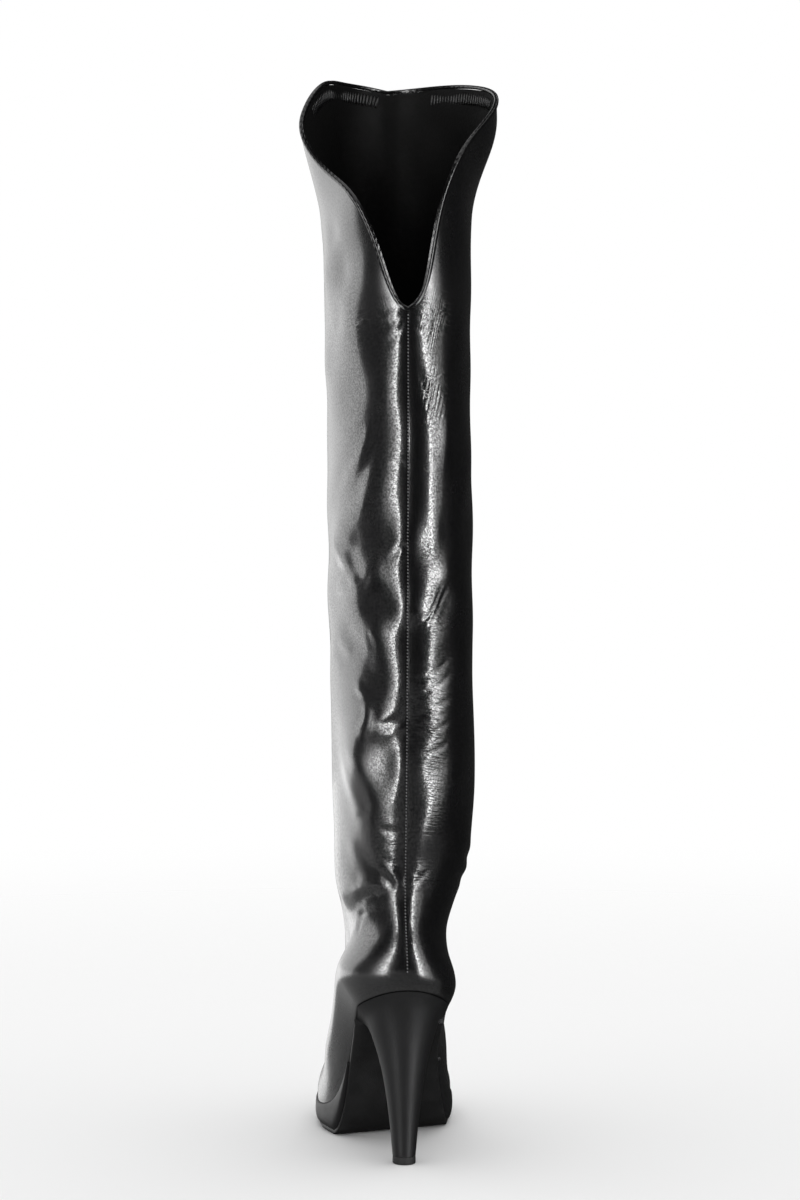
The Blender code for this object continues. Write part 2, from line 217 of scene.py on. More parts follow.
def table(kind: Callable[..., Row], *rows: Sequence) -> tuple[Row, ...]:
    """Gives the plain rows of a table their columns' names."""
    return tuple(kind(*row) for row in rows)


SOLE = table(
    SoleRow,
    (0.00, 0.318, 0.318, 1.000),
    (0.04, 0.322, 0.322, 0.940),
    (0.09, 0.325, 0.325, 0.880),
    (0.19, 0.320, 0.310, 0.765),
    (0.30, 0.322, 0.292, 0.545),
    (0.40, 0.380, 0.320, 0.285),
    (0.49, 0.455, 0.385, 0.105),
    (0.57, 0.507, 0.432, 0.025),
    (0.66, 0.517, 0.458, 0.000),
    (0.80, 0.480, 0.462, 0.006),
    (0.91, 0.420, 0.445, 0.032),
    (1.00, 0.370, 0.430, 0.085),
)
SPREAD = table(
    SpreadRow,
    (0.0, 0.000),
    (30.0, 0.017),
    (60.0, 0.070),
    (90.0, 0.235),
    (120.0, 0.455),
    (138.0, 0.605),
    (150.0, 0.735),
    (164.0, 0.885),
    (180.0, 1.000),
)
SHAFT = table(
    RingRow,
    (170.0, 12.0, 117.0, 40.0, 38.5, 0.32, 0.00),
    (184.0, 11.4, 116.5, 41.0, 44.0, 0.28, 0.02),
    (200.0, 9.4, 117.0, 41.2, 46.5, 0.20, 0.05),
    (225.0, 5.8, 118.5, 41.5, 47.3, 0.11, 0.10),
    (325.0, -3.0, 126.0, 43.5, 46.5, 0.00, 0.18),
    (420.0, -7.0, 133.0, 44.5, 45.5, 0.00, 0.20),
    (517.0, -8.0, 141.0, 45.3, 45.0, 0.00, 0.17),
    (575.0, -8.5, 146.0, 47.2, 45.8, 0.00, 0.10),
    (610.0, -9.5, 149.0, 49.2, 47.0, 0.00, 0.05),
    (690.0, -11.5, 153.0, 49.8, 50.5, 0.00, 0.00),
)
CLIMB = table(
    ClimbRow,
    (0.00, 0.000, 0.000, 0.0, 0.0, 0.0, 0.0),
    (0.08, -0.004, 0.062, 3.2, 3.6, 2.4, -0.6),
    (0.16, 0.024, 0.135, 5.4, 6.6, 3.4, -3.6),
    (0.25, 0.087, 0.200, 6.8, 9.0, 2.4, -6.8),
    (0.34, 0.205, 0.252, 7.0, 8.6, 0.0, -7.4),
    (0.43, 0.365, 0.296, 6.2, 5.4, -2.8, -6.0),
    (0.53, 0.543, 0.356, 4.5, 0.0, -4.6, -4.0),
    (0.63, 0.698, 0.445, 2.3, -3.8, -5.2, -2.2),
    (0.73, 0.828, 0.569, 0.3, -5.2, -4.6, -1.1),
    (0.83, 0.922, 0.719, -0.9, -4.4, -3.0, -0.4),
    (0.92, 0.978, 0.863, -0.9, -2.2, -1.3, 0.0),
    (1.00, 1.000, 1.000, 0.0, 0.0, 0.0, 0.0),
)
COLLAR = table(
    EdgeRow,
    (0.0, 0.000, 0.000),
    (5.0, 0.012, 0.018),
    (12.0, 0.058, 0.062),
    (18.0, 0.138, 0.150),
    (25.0, 0.262, 0.350),
    (35.0, 0.404, 0.535),
    (47.0, 0.503, 0.668),
    (60.0, 0.562, 0.762),
    (75.0, 0.640, 0.845),
    (90.0, 0.775, 0.912),
    (105.0, 0.915, 0.958),
    (120.0, 0.990, 0.980),
    (140.0, 1.000, 0.985),
    (165.0, 0.985, 0.975),
    (180.0, 0.968, 0.968),
)
FLARES = {Side.OUTER: FlareRow(12.5, 87.0, 24.0), Side.INNER: FlareRow(14.5, 94.0, 40.0)}
HEEL_BLOCKS = table(
    BlockRow,
    (0.0, 112.0, 88.0, 0.8, 50.0, 29.0, 0.03),
    (1.0, 106.5, 82.5, 3.0, 47.6, 24.4, 0.12),
    (2.0, 97.5, 75.5, 5.2, 40.0, 20.8, 0.20),
    (3.0, 84.0, 65.0, 7.2, 35.0, 17.2, 0.25),
    (4.0, 66.0, 53.0, 8.8, 31.4, 13.8, 0.28),
    (5.0, 45.0, 38.0, 10.2, 28.9, 11.0, 0.28),
    (6.0, 24.0, 21.5, 11.4, 27.4, 8.9, 0.28),
    (7.0, 5.3, 5.3, 12.0, 26.6, 7.4, 0.30),
)

HEEL_TIP = table(TipRow, (5.0, 0.35), (4.7, 0.1), (0.8, 0.0), (0.25, 0.15), (0.0, 0.5))
PLATFORM_SIDE = table(
    SideRow,
    (-0.55, 0.00),
    (-0.95, 0.02),
    (-1.20, 0.07),
    (-1.38, 0.20),
    (-1.50, 0.45),
    (-1.42, 0.62),
    (-1.20, 0.75),
    (-0.75, 0.86),
    (0.00, 0.95),
    (1.40, 1.00),
)
OUTSOLE_SIDE = table(SideRow, (0.15, 0.00), (0.00, 0.12), (0.00, 0.70), (0.30, 0.88), (0.80, 1.00))
SEAM_STITCH = Bead(2.1, 1.25, 0.9, 0.6, 0.18, 24.0)
FACING_PLEAT = Bead(2.4, 8.0, 1.7, 1.1, 0.0, 84.0)

# Creases that the leather has taken: outer side, back, inner side, under the notch, then the hidden front
CREASES = table(
    Crease,
    ((-30, 467), (-41, 447), (-63, 423), -0.55, 5.0),
    ((-26, 461), (-36, 441), (-49, 419), 0.25, 6.0),
    ((-37, 433), (-42, 425), (-44, 419), 0.30, 5.0),
    ((-73, 399), (-52, 379), (-44, 367), -0.60, 4.5),
    ((-53, 375), (-61, 367), (-69, 361), -0.45, 4.0),
    ((-38, 403), (-46, 389), (-42, 377), 0.25, 6.0),
    ((-65, 337), (-57, 329), (-51, 323), -0.40, 5.0),
    ((-33, 341), (-31, 335), (-28, 331), 0.25, 3.5),
    ((-45, 305), (-40, 301), (-34, 299), -0.60, 3.0),
    ((-38, 293), (-33, 285), (-41, 271), -0.90, 4.0),
    ((-62, 261), (-50, 235), (-44, 221), -0.50, 5.5),
    ((-56, 263), (-44, 239), (-38, 223), 0.35, 5.0),
    ((-59, 207), (-50, 191), (-41, 179), -0.50, 5.0),
    ((-30, 173), (-45, 170), (-57, 165), 0.80, 3.2),
    ((-25, 179), (-40, 177), (-52, 173), -0.40, 5.0),
    ((-52, 159), (-59, 153), (-61, 146), 0.50, 2.2),
    ((-13, 443), (-7, 445), (-2, 443), 0.25, 2.0),
    ((-12, 387), (-5, 393), (-1, 391), 0.50, 2.2),
    ((-2, 287), (-13, 283), (-26, 279), 0.65, 3.0),
    ((-25, 215), (-13, 213), (1, 215), 0.35, 2.5),
    ((-24, 195), (-13, 193), (-2, 195), 0.30, 2.5),
    ((-21, 189), (-9, 183), (-7, 175), -0.50, 3.0),
    ((-29, 185), (-20, 181), (-17, 177), 0.50, 2.8),
    ((7, 189), (18, 183), (30, 177), 0.28, 1.8),
    ((26, 189), (18, 183), (8, 179), 0.28, 1.8),
    ((8, 310), (20, 314), (36, 322), 0.35, 1.8),
    ((9, 300), (22, 305), (38, 313), 0.35, 1.8),
    ((8, 287), (20, 291), (37, 298), 0.40, 1.8),
    ((9, 275), (22, 277), (38, 284), 0.35, 1.8),
    ((10, 262), (24, 265), (36, 270), 0.35, 1.8),
    ((10, 345), (18, 352), (27, 366), 0.30, 1.8),
    ((16, 344), (24, 353), (34, 367), 0.30, 1.8),
    ((9, 503), (14, 490), (20, 472), 0.30, 1.8),
    ((17, 503), (23, 489), (30, 470), 0.30, 1.8),
    ((-4, 539), (-12, 533), (-25, 531), 0.22, 1.8),
    ((-2, 537), (-9, 525), (-19, 517), 0.25, 1.8),
    ((-8, 543), (-17, 541), (-28, 539), 0.20, 1.8),
    ((6, 541), (20, 541), (42, 541), 0.35, 1.8),
    ((6, 537), (19, 533), (37, 531), 0.45, 1.8),
    ((6, 531), (14, 527), (25, 527), 0.40, 1.8),
    ((-179, 204), (-152, 198), (-122, 186), 0.80, 4.5),
    ((179, 204), (150, 197), (118, 188), 0.80, 4.5),
    ((-179, 182), (-150, 178), (-126, 168), 0.60, 4.0),
    ((179, 182), (154, 177), (130, 170), 0.60, 4.0),
    ((64, 196), (84, 190), (108, 196), 0.90, 4.0),
    ((58, 184), (76, 178), (100, 176), 0.70, 3.6),
)
SWELLS = table(
    Swell,
    (-66, 588, 13, 10, -1.6),
    (-56, 566, 10, 12, -1.3),
    (-78, 560, 14, 14, 1.2),
    (-62, 536, 12, 12, -1.1),
    (-84, 505, 14, 16, 1.0),
    (-62, 400, 16, 17, 1.8),
    (-28, 379, 14, 9, 1.1),
    (-28, 359, 14, 9, -1.0),
    (-28, 339, 14, 9, 1.0),
    (-28, 310, 14, 13, -1.0),
    (-32, 281, 16, 10, 1.4),
    (-44, 254, 14, 22, 3.6),
    (-16, 254, 9, 22, -0.75),
    (0, 397, 10, 15, 1.8),
    (1, 354, 10, 9, 1.5),
    (33, 461, 14, 16, 1.2),
    (33, 400, 14, 17, -1.2),
    (32, 377, 13, 7, 1.2),
    (33, 357, 14, 10, -1.4),
    (33, 325, 13, 12, -1.0),
    (34, 305, 13, 10, 0.7),
)
PATCHES = table(
    Patch,
    (Mark.LEVEL, 24, 285, 15, 40, 0.45),
    (Mark.LEVEL, 18, 183, 14, 9, 0.4),
    (Mark.FALLING, 34, 232, 14, 24, 0.4),
    (Mark.LEVEL, -16, 200, 12, 20, 0.2),
    (Mark.LEVEL, -30, 535, 24, 8, 0.25),
    (Mark.LEVEL, 28, 541, 22, 12, 0.45),
    (Mark.LEVEL, 26, 350, 13, 24, 0.45),
    (Mark.FALLING, 22, 487, 14, 20, 0.5),
    (Mark.FALLING, -50, 440, 14, 30, 0.15),
    (Mark.FALLING, 20, 385, 10, 12, 0.35),
    (Mark.SOFT, -70, 610, 60, 66, 1.0),
    (Mark.SOFT, -75, 450, 32, 85, 0.9),
    (Mark.SOFT, -70, 105, 40, 45, 0.8),
    (Mark.SOFT, 0, 116, 70, 13, 0.8),
    (Mark.SOFT, -60, 260, 30, 110, 0.7),
    (Mark.SOFT, -55, 250, 18, 100, 0.6),
    (Mark.SOFT, -100, 50, 60, 70, 0.8),
    (Mark.SOFT, 30, 290, 14, 45, 0.9),
    (Mark.SOFT, 30, 487, 12, 22, 0.6),
    (Mark.SOFT, 30, 352, 12, 30, 0.7),
    (Mark.SOFT, 26, 190, 14, 20, 0.5),
    (Mark.SOFT, 28, 552, 24, 18, 1.1),
    (Mark.SOFT, -20, 552, 16, 18, 0.6),
)
VAMP_FOLDS = table(
    VampFold,
    (-44.0, 118.0, 38.0, 146.0, 0.7, 4.0),
    (-45.0, 128.0, 40.0, 156.0, 0.6, 3.5),
    (-40.0, 139.0, 36.0, 166.0, 0.4, 3.0),
)


class Curve:
    """A smooth cubic curve through two columns of a table."""

    def __init__(self, rows: Sequence[NamedTuple], key: str, value: str, level_ends: bool = False) -> None:
        """Solves the slopes at the table's rows.

        Args:
            rows: the table, in the order of its key column.
            key: name of the column that is looked up.
            value: name of the column that is smoothed.
            level_ends: True where the curve starts and ends level.
        """
        self.xs = np.array([getattr(row, key) for row in rows], float)
        self.ys = np.array([getattr(row, value) for row in rows], float)
        self.spans = np.diff(self.xs)
        slopes = np.diff(self.ys) / self.spans
        last = len(self.xs) - 1
        matrix = np.zeros((last + 1, last + 1))
        right = np.zeros(last + 1)
        matrix[0, 0] = matrix[last, last] = 2.0
        if not level_ends:
            matrix[0, 1] = matrix[last, last - 1] = 1.0
            right[0], right[last] = 3 * slopes[0], 3 * slopes[-1]
        for i in range(1, last):
            matrix[i, i - 1] = 1 / self.spans[i - 1]
            matrix[i, i + 1] = 1 / self.spans[i]
            matrix[i, i] = 2 * (matrix[i, i - 1] + matrix[i, i + 1])
            right[i] = 3 * (slopes[i - 1] / self.spans[i - 1] + slopes[i] / self.spans[i])
        self.tangents = np.linalg.solve(matrix, right)

    def __call__(self, x: Array) -> Array:
        """Reads the curve.

        Args:
            x: places along the key column, held within the table.

        Returns:
            The smoothed values there.
        """
        x = np.clip(x, self.xs[0], self.xs[-1])
        i = np.clip(np.searchsorted(self.xs, x, side="right") - 1, 0, len(self.spans) - 1)
        span, t = self.spans[i], (x - self.xs[i]) / self.spans[i]
        start = self.ys[i] * (1 + 2 * t) * (1 - t) ** 2 + span * self.tangents[i] * t * (1 - t) ** 2
        end = self.ys[i + 1] * t * t * (3 - 2 * t) + span * self.tangents[i + 1] * t * t * (t - 1)
        return start + end


def ease(x: Array, start: float, end: float) -> Array:
    """Goes smoothly from 0 to 1.

    Args:
        x: places to read.
        start: where it leaves 0.
        end: where it reaches 1.

    Returns:
        Values from 0 to 1.
    """
    t = np.clip((x - start) / (end - start), 0.0, 1.0)
    return t * t * (3 - 2 * t)


def blend(a: Array, b: Array, t: Array) -> Array:
    """Gives the values a share t of the way from a to b."""
    return a + (b - a) * t


def hump(x: Array, width: float) -> Array:
    """Gives a bell of height 1 with a half width."""
    return np.exp(-((x / width) ** 2))


def unit(vectors: Array) -> Array:
    """Gives vectors the length 1."""
    return vectors / np.linalg.norm(vectors, axis=-1, keepdims=True)


def mirrored(half: Array) -> Array:
    """Gives the turns of both sides from those of one side, 0 to 180."""
    return np.concatenate([-half[::-1], half[1:-1]])


def polar(turn: Array) -> tuple[Array, Array, Array]:
    """Gives the headings of turns, the same in radians, and -1 or 1 for their side."""
    heading = np.abs(turn)
    return heading, np.radians(heading), np.where(turn < 0, -1.0, 1.0)


def steady(value: float) -> Height:
    """Gives a rail that keeps one value all along."""
    return lambda s: np.full(np.shape(s), value)


def last_origin(tip_back: float) -> Vector:
    """Finds where the last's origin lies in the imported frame, from the heel's rubber tip.

    Args:
        tip_back: how far the tip's back lies from the heel's end, in millimetres.

    Returns:
        The origin in metres.
    """
    low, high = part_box("heel_top_piece")
    return Vector(((low[0] + high[0]) / 2, low[1] - tip_back * MM, low[2]))


ORIGIN = last_origin(HEEL_BLOCKS[-1].back)


def to_frame(points: Array) -> list[list[float]]:
    """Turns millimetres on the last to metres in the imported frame."""
    return (points * MM + np.array(ORIGIN)).tolist()


def put(name: str, data: bpy.types.ID) -> bpy.types.Object:
    """Makes an object of a mesh, lamp or camera and links it to the scene."""
    made = bpy.data.objects.new(name, data)
    bpy.context.scene.collection.objects.link(made)
    return made


def look_at(made: bpy.types.Object, target: Vector) -> None:
    """Turns a lamp or the camera to a point."""
    made.rotation_euler = (target - made.location).to_track_quat("-Z", "Y").to_euler()


def linear(hex_colour: str) -> tuple[float, float, float, float]:
    """Turns an sRGB hex colour to linear light.

    Args:
        hex_colour: six hex digits after a number sign.

    Returns:
        Red, green, blue and a full alpha.
    """
    parts = [int(hex_colour[i : i + 2], 16) / 255 for i in (1, 3, 5)]
    red, green, blue = (p / 12.92 if p <= 0.04045 else ((p + 0.055) / 1.055) ** 2.4 for p in parts)
    return red, green, blue, 1.0


def add_node(
    tree: bpy.types.NodeTree, kind: str, inputs: dict | None = None, **settings: object
) -> bpy.types.Node:
    """Adds a node to a tree with its settings, values and links.

    Args:
        tree: the shader or geometry tree.
        kind: Blender's name of the node type.
        inputs: a value or another node's output for each input, by name or number.
        settings: the node's own properties.

    Returns:
        The new node.
    """
    made = tree.nodes.new(kind)
    for name, value in settings.items():
        setattr(made, name, value)
    for socket, value in (inputs or {}).items():
        if isinstance(value, bpy.types.NodeSocket):
            tree.links.new(value, made.inputs[socket])
        else:
            made.inputs[socket].default_value = value
    return made


@dataclass(frozen=True)
class Finish:
    """What every finish has: a name, a colour and a gloss."""

    name: str
    colour: str
    roughness: float

    def start(self) -> tuple[bpy.types.NodeTree, bpy.types.Node]:
        """Makes the material with its shader.

        Returns:
            The material's tree and its shader node.
        """
        material = bpy.data.materials.new(self.name)
        material.use_nodes = True
        tree = material.node_tree
        shader = tree.nodes["Principled BSDF"]
        shader.inputs["Base Color"].default_value = linear(self.colour)
        shader.inputs["Roughness"].default_value = self.roughness
        return tree, shader

    def material(self) -> bpy.types.Material:
        """Gives the finish's material, made once."""
        found = bpy.data.materials.get(self.name)
        if found is None:
            self.dress(*self.start())
            found = bpy.data.materials[self.name]
        return found

    def dress(self, tree: bpy.types.NodeTree, shader: bpy.types.Node) -> None:
        """Adds the finish's own pattern to its shader."""
        raise NotImplementedError


@dataclass(frozen=True)
class GlazedCalf(Finish):
    """Black calf, glazed and polished: a deep gloss that the pores and fine wrinkles break up."""

    pore: float = 0.9
    pore_share: float = 0.5
    pebble: float = 4.5
    grain: tuple[float, float] = (0.06, 0.04)
    wrinkle: float = 1.7
    wrinkle_stretch: float = 8.0
    wrinkle_depth: float = 2.6
    slants: tuple[tuple[Mark, float], ...] = ((Mark.LEVEL, 14.0), (Mark.FALLING, -58.0))
    relief: float = 1.2
    bump: float = 0.45
    edge_band: tuple[float, float] = (1.5, 5.0)
    edge_dull: float = 0.2
    wear: float = 26.0
    wear_dull: float = 0.12
    film: tuple[float, float] = (0.06, 0.26)
    speck: float = 1.2
    speck_span: tuple[float, float] = (0.38, 0.60)
    glaze: tuple[tuple[str, float, float, float], ...] = (
        ("Coat Weight", 0.3, 0.8, 1.0),
        ("Specular IOR Level", 0.2, 0.5, 0.6),
    )
    ior: float = 1.5

    def dress(self, tree: bpy.types.NodeTree, shader: bpy.types.Node) -> None:
        """Adds the leather's relief, the wear of its gloss and the glaze over it.

        Args:
            tree: the material's tree.
            shader: its Principled shader.
        """
        place = add_node(tree, "ShaderNodeTexCoord").outputs
        soft = add_node(tree, "ShaderNodeAttribute", attribute_name=Mark.SOFT.value).outputs["Fac"]
        relief = self.wrinkles(tree, place["UV"], self.pores(tree, place["Object"], soft))
        bump = add_node(
            tree, "ShaderNodeBump", {"Height": relief, "Strength": self.bump, "Distance": self.relief * MM}
        )
        for name in ("Normal", "Coat Normal"):
            tree.links.new(bump.outputs[0], shader.inputs[name])
        up = add_node(tree, "ShaderNodeSeparateXYZ", {0: place["UV"]})
        edge = add_node(
            tree,
            "ShaderNodeMapRange",
            {
                "Value": up.outputs["Y"],
                "From Min": self.edge_band[0] * MM,
                "From Max": self.edge_band[1] * MM,
                "To Min": self.roughness + self.edge_dull,
                "To Max": self.roughness,
            },
        )
        wear = add_node(
            tree,
            "ShaderNodeTexNoise",
            {"Vector": place["Object"], "Scale": 1 / (self.wear * MM), "Detail": 4.0, "Roughness": 0.6},
        )
        gloss = add_node(
            tree,
            "ShaderNodeMath",
            {0: wear.outputs["Fac"], 1: self.wear_dull, 2: edge.outputs[0]},
            operation="MULTIPLY_ADD",
        )
        tree.links.new(gloss.outputs[0], shader.inputs["Roughness"])
        shader.inputs["IOR"].default_value = self.ior
        self.coat(tree, shader, place["Object"], soft)

    def pores(
        self, tree: bpy.types.NodeTree, place: bpy.types.NodeSocket, soft: bpy.types.NodeSocket
    ) -> bpy.types.NodeSocket:
        """Adds pores and a broader pebbling, shallower where the gloss is soft.

        Args:
            tree: the material's tree.
            place: the piece's own coordinates.
            soft: where the gloss is soft.

        Returns:
            The relief so far.
        """
        # Pores are drawn a little coarser than the real ones, so that they show at the render's size
        cells = add_node(tree, "ShaderNodeTexVoronoi", {"Vector": place, "Scale": 1 / (self.pore * MM)})
        pebble = add_node(
            tree,
            "ShaderNodeTexNoise",
            {"Vector": place, "Scale": 1 / (self.pebble * MM), "Detail": 3.0, "Roughness": 0.6},
        )
        both = add_node(
            tree,
            "ShaderNodeMath",
            {0: cells.outputs["Distance"], 1: self.pore_share, 2: pebble.outputs["Fac"]},
            operation="MULTIPLY_ADD",
        )
        clear, dull = self.grain
        depth = add_node(tree, "ShaderNodeMapRange", {"Value": soft, "To Min": clear, "To Max": dull})
        return add_node(
            tree, "ShaderNodeMath", {0: both.outputs[0], 1: depth.outputs[0]}, operation="MULTIPLY"
        ).outputs[0]

    def wrinkles(
        self, tree: bpy.types.NodeTree, place: bpy.types.NodeSocket, relief: bpy.types.NodeSocket
    ) -> bpy.types.NodeSocket:
        """Adds fine wrinkles where the mesh asks for them.

        Args:
            tree: the material's tree.
            place: coordinates along the leather.
            relief: what the wrinkles are added to.

        Returns:
            The whole relief.
        """
        length, width = self.wrinkle_stretch * self.wrinkle * MM, self.wrinkle * MM
        for mark, degrees in self.slants:
            turned = add_node(
                tree,
                "ShaderNodeMapping",
                {
                    "Vector": place,
                    "Rotation": (0.0, 0.0, math.radians(-degrees)),
                    "Scale": (1 / length, 1 / width, 1.0),
                },
            )
            folds = add_node(
                tree,
                "ShaderNodeTexNoise",
                {
                    "Vector": turned.outputs[0],
                    "Scale": 1.0,
                    "Detail": 1.0,
                    "Roughness": 0.5,
                    "Distortion": 0.6,
                },
                noise_dimensions="2D",
            )
            where = add_node(tree, "ShaderNodeAttribute", attribute_name=mark.value)
            crest = add_node(tree, "ShaderNodeMath", {0: folds.outputs["Fac"], 1: 0.5}, operation="SUBTRACT")
            ridge = add_node(tree, "ShaderNodeMath", {0: crest.outputs[0]}, operation="ABSOLUTE")
            depth = add_node(
                tree, "ShaderNodeMath", {0: ridge.outputs[0], 1: where.outputs["Fac"]}, operation="MULTIPLY"
            )
            relief = add_node(
                tree,
                "ShaderNodeMath",
                {0: depth.outputs[0], 1: self.wrinkle_depth, 2: relief},
                operation="MULTIPLY_ADD",
            ).outputs[0]
        return relief

    def coat(
        self,
        tree: bpy.types.NodeTree,
        shader: bpy.types.Node,
        place: bpy.types.NodeSocket,
        soft: bpy.types.NodeSocket,
    ) -> None:
        """Adds the glaze, which is thin over the pores, so that highlights look finely speckled.

        Args:
            tree: the material's tree.
            shader: its Principled shader.
            place: the piece's own coordinates.
            soft: where the gloss is soft.
        """
        clear, dull = self.film
        film = add_node(tree, "ShaderNodeMapRange", {"Value": soft, "To Min": clear, "To Max": dull})
        tree.links.new(film.outputs[0], shader.inputs["Coat Roughness"])
        specks = add_node(
            tree,
            "ShaderNodeTexNoise",
            {"Vector": place, "Scale": 1 / (self.speck * MM), "Detail": 2.0, "Roughness": 0.7},
        )
        for name, thin, level, full in self.glaze:
            least = add_node(tree, "ShaderNodeMapRange", {"Value": soft, "To Min": thin, "To Max": level})
            glaze = add_node(
                tree,
                "ShaderNodeMapRange",
                {
                    "Value": specks.outputs["Fac"],
                    "From Min": self.speck_span[0],
                    "From Max": self.speck_span[1],
                    "To Min": least.outputs[0],
                    "To Max": full,
                },
            )
            tree.links.new(glaze.outputs[0], shader.inputs[name])


@dataclass(frozen=True)
class GrainLeather(Finish):
    """Black leather with a printed grain and a wax finish: satin, with a soft broken sheen."""

    grain: float = 1.2
    bump: float = 0.12
    mottle: float = 0.10
    pucker: float = 0.0
    pucker_depth: float = 2.2
    relief: float = 0.6
    wax: float = 14.0
    wax_span: tuple[float, float] = (0.3, 0.7)
    shine: float = 0.5

    def dress(self, tree: bpy.types.NodeTree, shader: bpy.types.Node) -> None:
        """Adds grain, uneven wax and, round an edge, the puckers of a rolled strip.

        Args:
            tree: the material's tree.
            shader: its Principled shader.
        """
        place = add_node(tree, "ShaderNodeTexCoord").outputs
        cells = add_node(
            tree, "ShaderNodeTexVoronoi", {"Vector": place["Object"], "Scale": 1 / (self.grain * MM)}
        )
        relief = cells.outputs["Distance"]
        if self.pucker:
            folds = add_node(
                tree,
                "ShaderNodeTexWave",
                {"Vector": place["UV"], "Scale": WAVE_LENGTH / (self.pucker * MM), "Distortion": 1.5},
                wave_type="BANDS",
                bands_direction="DIAGONAL",
            )
            relief = add_node(
                tree,
                "ShaderNodeMath",
                {0: folds.outputs["Fac"], 1: self.pucker_depth, 2: relief},
                operation="MULTIPLY_ADD",
            ).outputs[0]
        bump = add_node(
            tree, "ShaderNodeBump", {"Height": relief, "Strength": self.bump, "Distance": self.relief * MM}
        )
        tree.links.new(bump.outputs[0], shader.inputs["Normal"])
        wax = add_node(
            tree,
            "ShaderNodeTexNoise",
            {"Vector": place["Object"], "Scale": 1 / (self.wax * MM), "Detail": 5.0, "Roughness": 0.6},
        )
        gloss = add_node(
            tree,
            "ShaderNodeMapRange",
            {
                "Value": wax.outputs["Fac"],
                "From Min": self.wax_span[0],
                "From Max": self.wax_span[1],
                "To Min": self.roughness - self.mottle / 2,
                "To Max": self.roughness + self.mottle / 2,
            },
        )
        tree.links.new(gloss.outputs[0], shader.inputs["Roughness"])
        shader.inputs["Specular IOR Level"].default_value = self.shine


@dataclass(frozen=True)
class MouldedRubber(Finish):
    """Black moulded rubber with a sanded face: dull and a little dusty."""

    grit: float = 0.8
    dust: str = "#202020"
    relief: float = 0.4
    bump: float = 0.3

    def dress(self, tree: bpy.types.NodeTree, shader: bpy.types.Node) -> None:
        """Adds sanding grit and dust.

        Args:
            tree: the material's tree.
            shader: its Principled shader.
        """
        place = add_node(tree, "ShaderNodeTexCoord").outputs["Object"]
        # Grit is drawn coarser than real sanding marks, so that it shows at the render's size
        grit = add_node(
            tree, "ShaderNodeTexNoise", {"Vector": place, "Scale": 1 / (self.grit * MM), "Detail": 4.0}
        )
        dust = add_node(tree, "ShaderNodeValToRGB", {0: grit.outputs["Fac"]})
        for stop, colour in zip(dust.color_ramp.elements, (self.colour, self.dust)):
            stop.color = linear(colour)
        tree.links.new(dust.outputs[0], shader.inputs["Base Color"])
        bump = add_node(
            tree,
            "ShaderNodeBump",
            {"Height": grit.outputs["Fac"], "Strength": self.bump, "Distance": self.relief * MM},
        )
        tree.links.new(bump.outputs[0], shader.inputs["Normal"])


@dataclass(frozen=True)
class TwistedThread(Finish):
    """Black thread, twisted and waxed: small dull beads with a fine sheen, coloured light grey as a painted
    highlight.
    """

    twist: float = 0.8
    relief: float = 0.3
    bump: float = 0.25
    shine: float = 0.3

    def dress(self, tree: bpy.types.NodeTree, shader: bpy.types.Node) -> None:
        """Adds the twist of the strands.

        Args:
            tree: the material's tree.
            shader: its Principled shader.
        """
        place = add_node(tree, "ShaderNodeTexCoord").outputs["Object"]
        strands = add_node(
            tree,
            "ShaderNodeTexWave",
            {"Vector": place, "Scale": WAVE_LENGTH / (self.twist * MM)},
            bands_direction="DIAGONAL",
        )
        bump = add_node(
            tree,
            "ShaderNodeBump",
            {"Height": strands.outputs["Fac"], "Strength": self.bump, "Distance": self.relief * MM},
        )
        tree.links.new(bump.outputs[0], shader.inputs["Normal"])
        shader.inputs["Specular IOR Level"].default_value = self.shine


@dataclass(frozen=True)
class StudioPaper(Finish):
    """Matt white paper that runs out to the white of the room, so that no edge shows."""

    near: float = 0.35
    far: float = 1.5

    def dress(self, tree: bpy.types.NodeTree, shader: bpy.types.Node) -> None:
        """Lets the paper fade with the distance from the boot.

        Args:
            tree: the material's tree.
            shader: its Principled shader.
        """
        place = add_node(tree, "ShaderNodeTexCoord").outputs["Object"]
        away = add_node(tree, "ShaderNodeVectorMath", {0: place}, operation="LENGTH")
        fade = add_node(
            tree,
            "ShaderNodeMapRange",
            {
                "Value": away.outputs["Value"],
                "From Min": self.near,
                "From Max": self.far,
                "To Min": 1.0,
                "To Max": 0.0,
            },
            interpolation_type="SMOOTHSTEP",
        )
        tree.links.new(fade.outputs[0], shader.inputs["Alpha"])
        shader.inputs["Specular IOR Level"].default_value = 0.0


CALF = GlazedCalf("glazed_black_calf", "#08080a", 0.20)
LINING = GrainLeather("black_lining_leather", "#050505", 0.62, grain=1.6, bump=0.25, shine=0.12)
FACING = GrainLeather("gathered_facing_leather", "#0e0e0f", 0.40, grain=1.4, bump=0.15)
EDGE = GrainLeather("rolled_edge_leather", "#060607", 0.22, grain=1.2, bump=0.08, pucker=2.4)
SOCK = GrainLeather("matt_sock_leather", "#141313", 0.62, grain=1.4, bump=0.20)
COVER = GrainLeather("waxed_platform_leather", "#1d1d1e", 0.48, grain=1.1, bump=0.08, shine=0.3)
HEEL_COVER = GrainLeather("waxed_heel_leather", "#1d1d1e", 0.46, grain=1.1, bump=0.05, shine=0.25)
SOLE_LEATHER = GrainLeather("dyed_sole_leather", "#171718", 0.55, grain=1.0, bump=0.10, mottle=0.16)
RUBBER = MouldedRubber("moulded_black_rubber", "#161616", 0.72)
# The black thread is given a light grey colour, a painted highlight, so that the stitch beads show as light
# dots along the back seam
THREAD = TwistedThread("black_thread_painted_highlight", "#68686a", 0.5)
PAPER = StudioPaper("white_studio_paper", "#f4f4f4", 0.9)


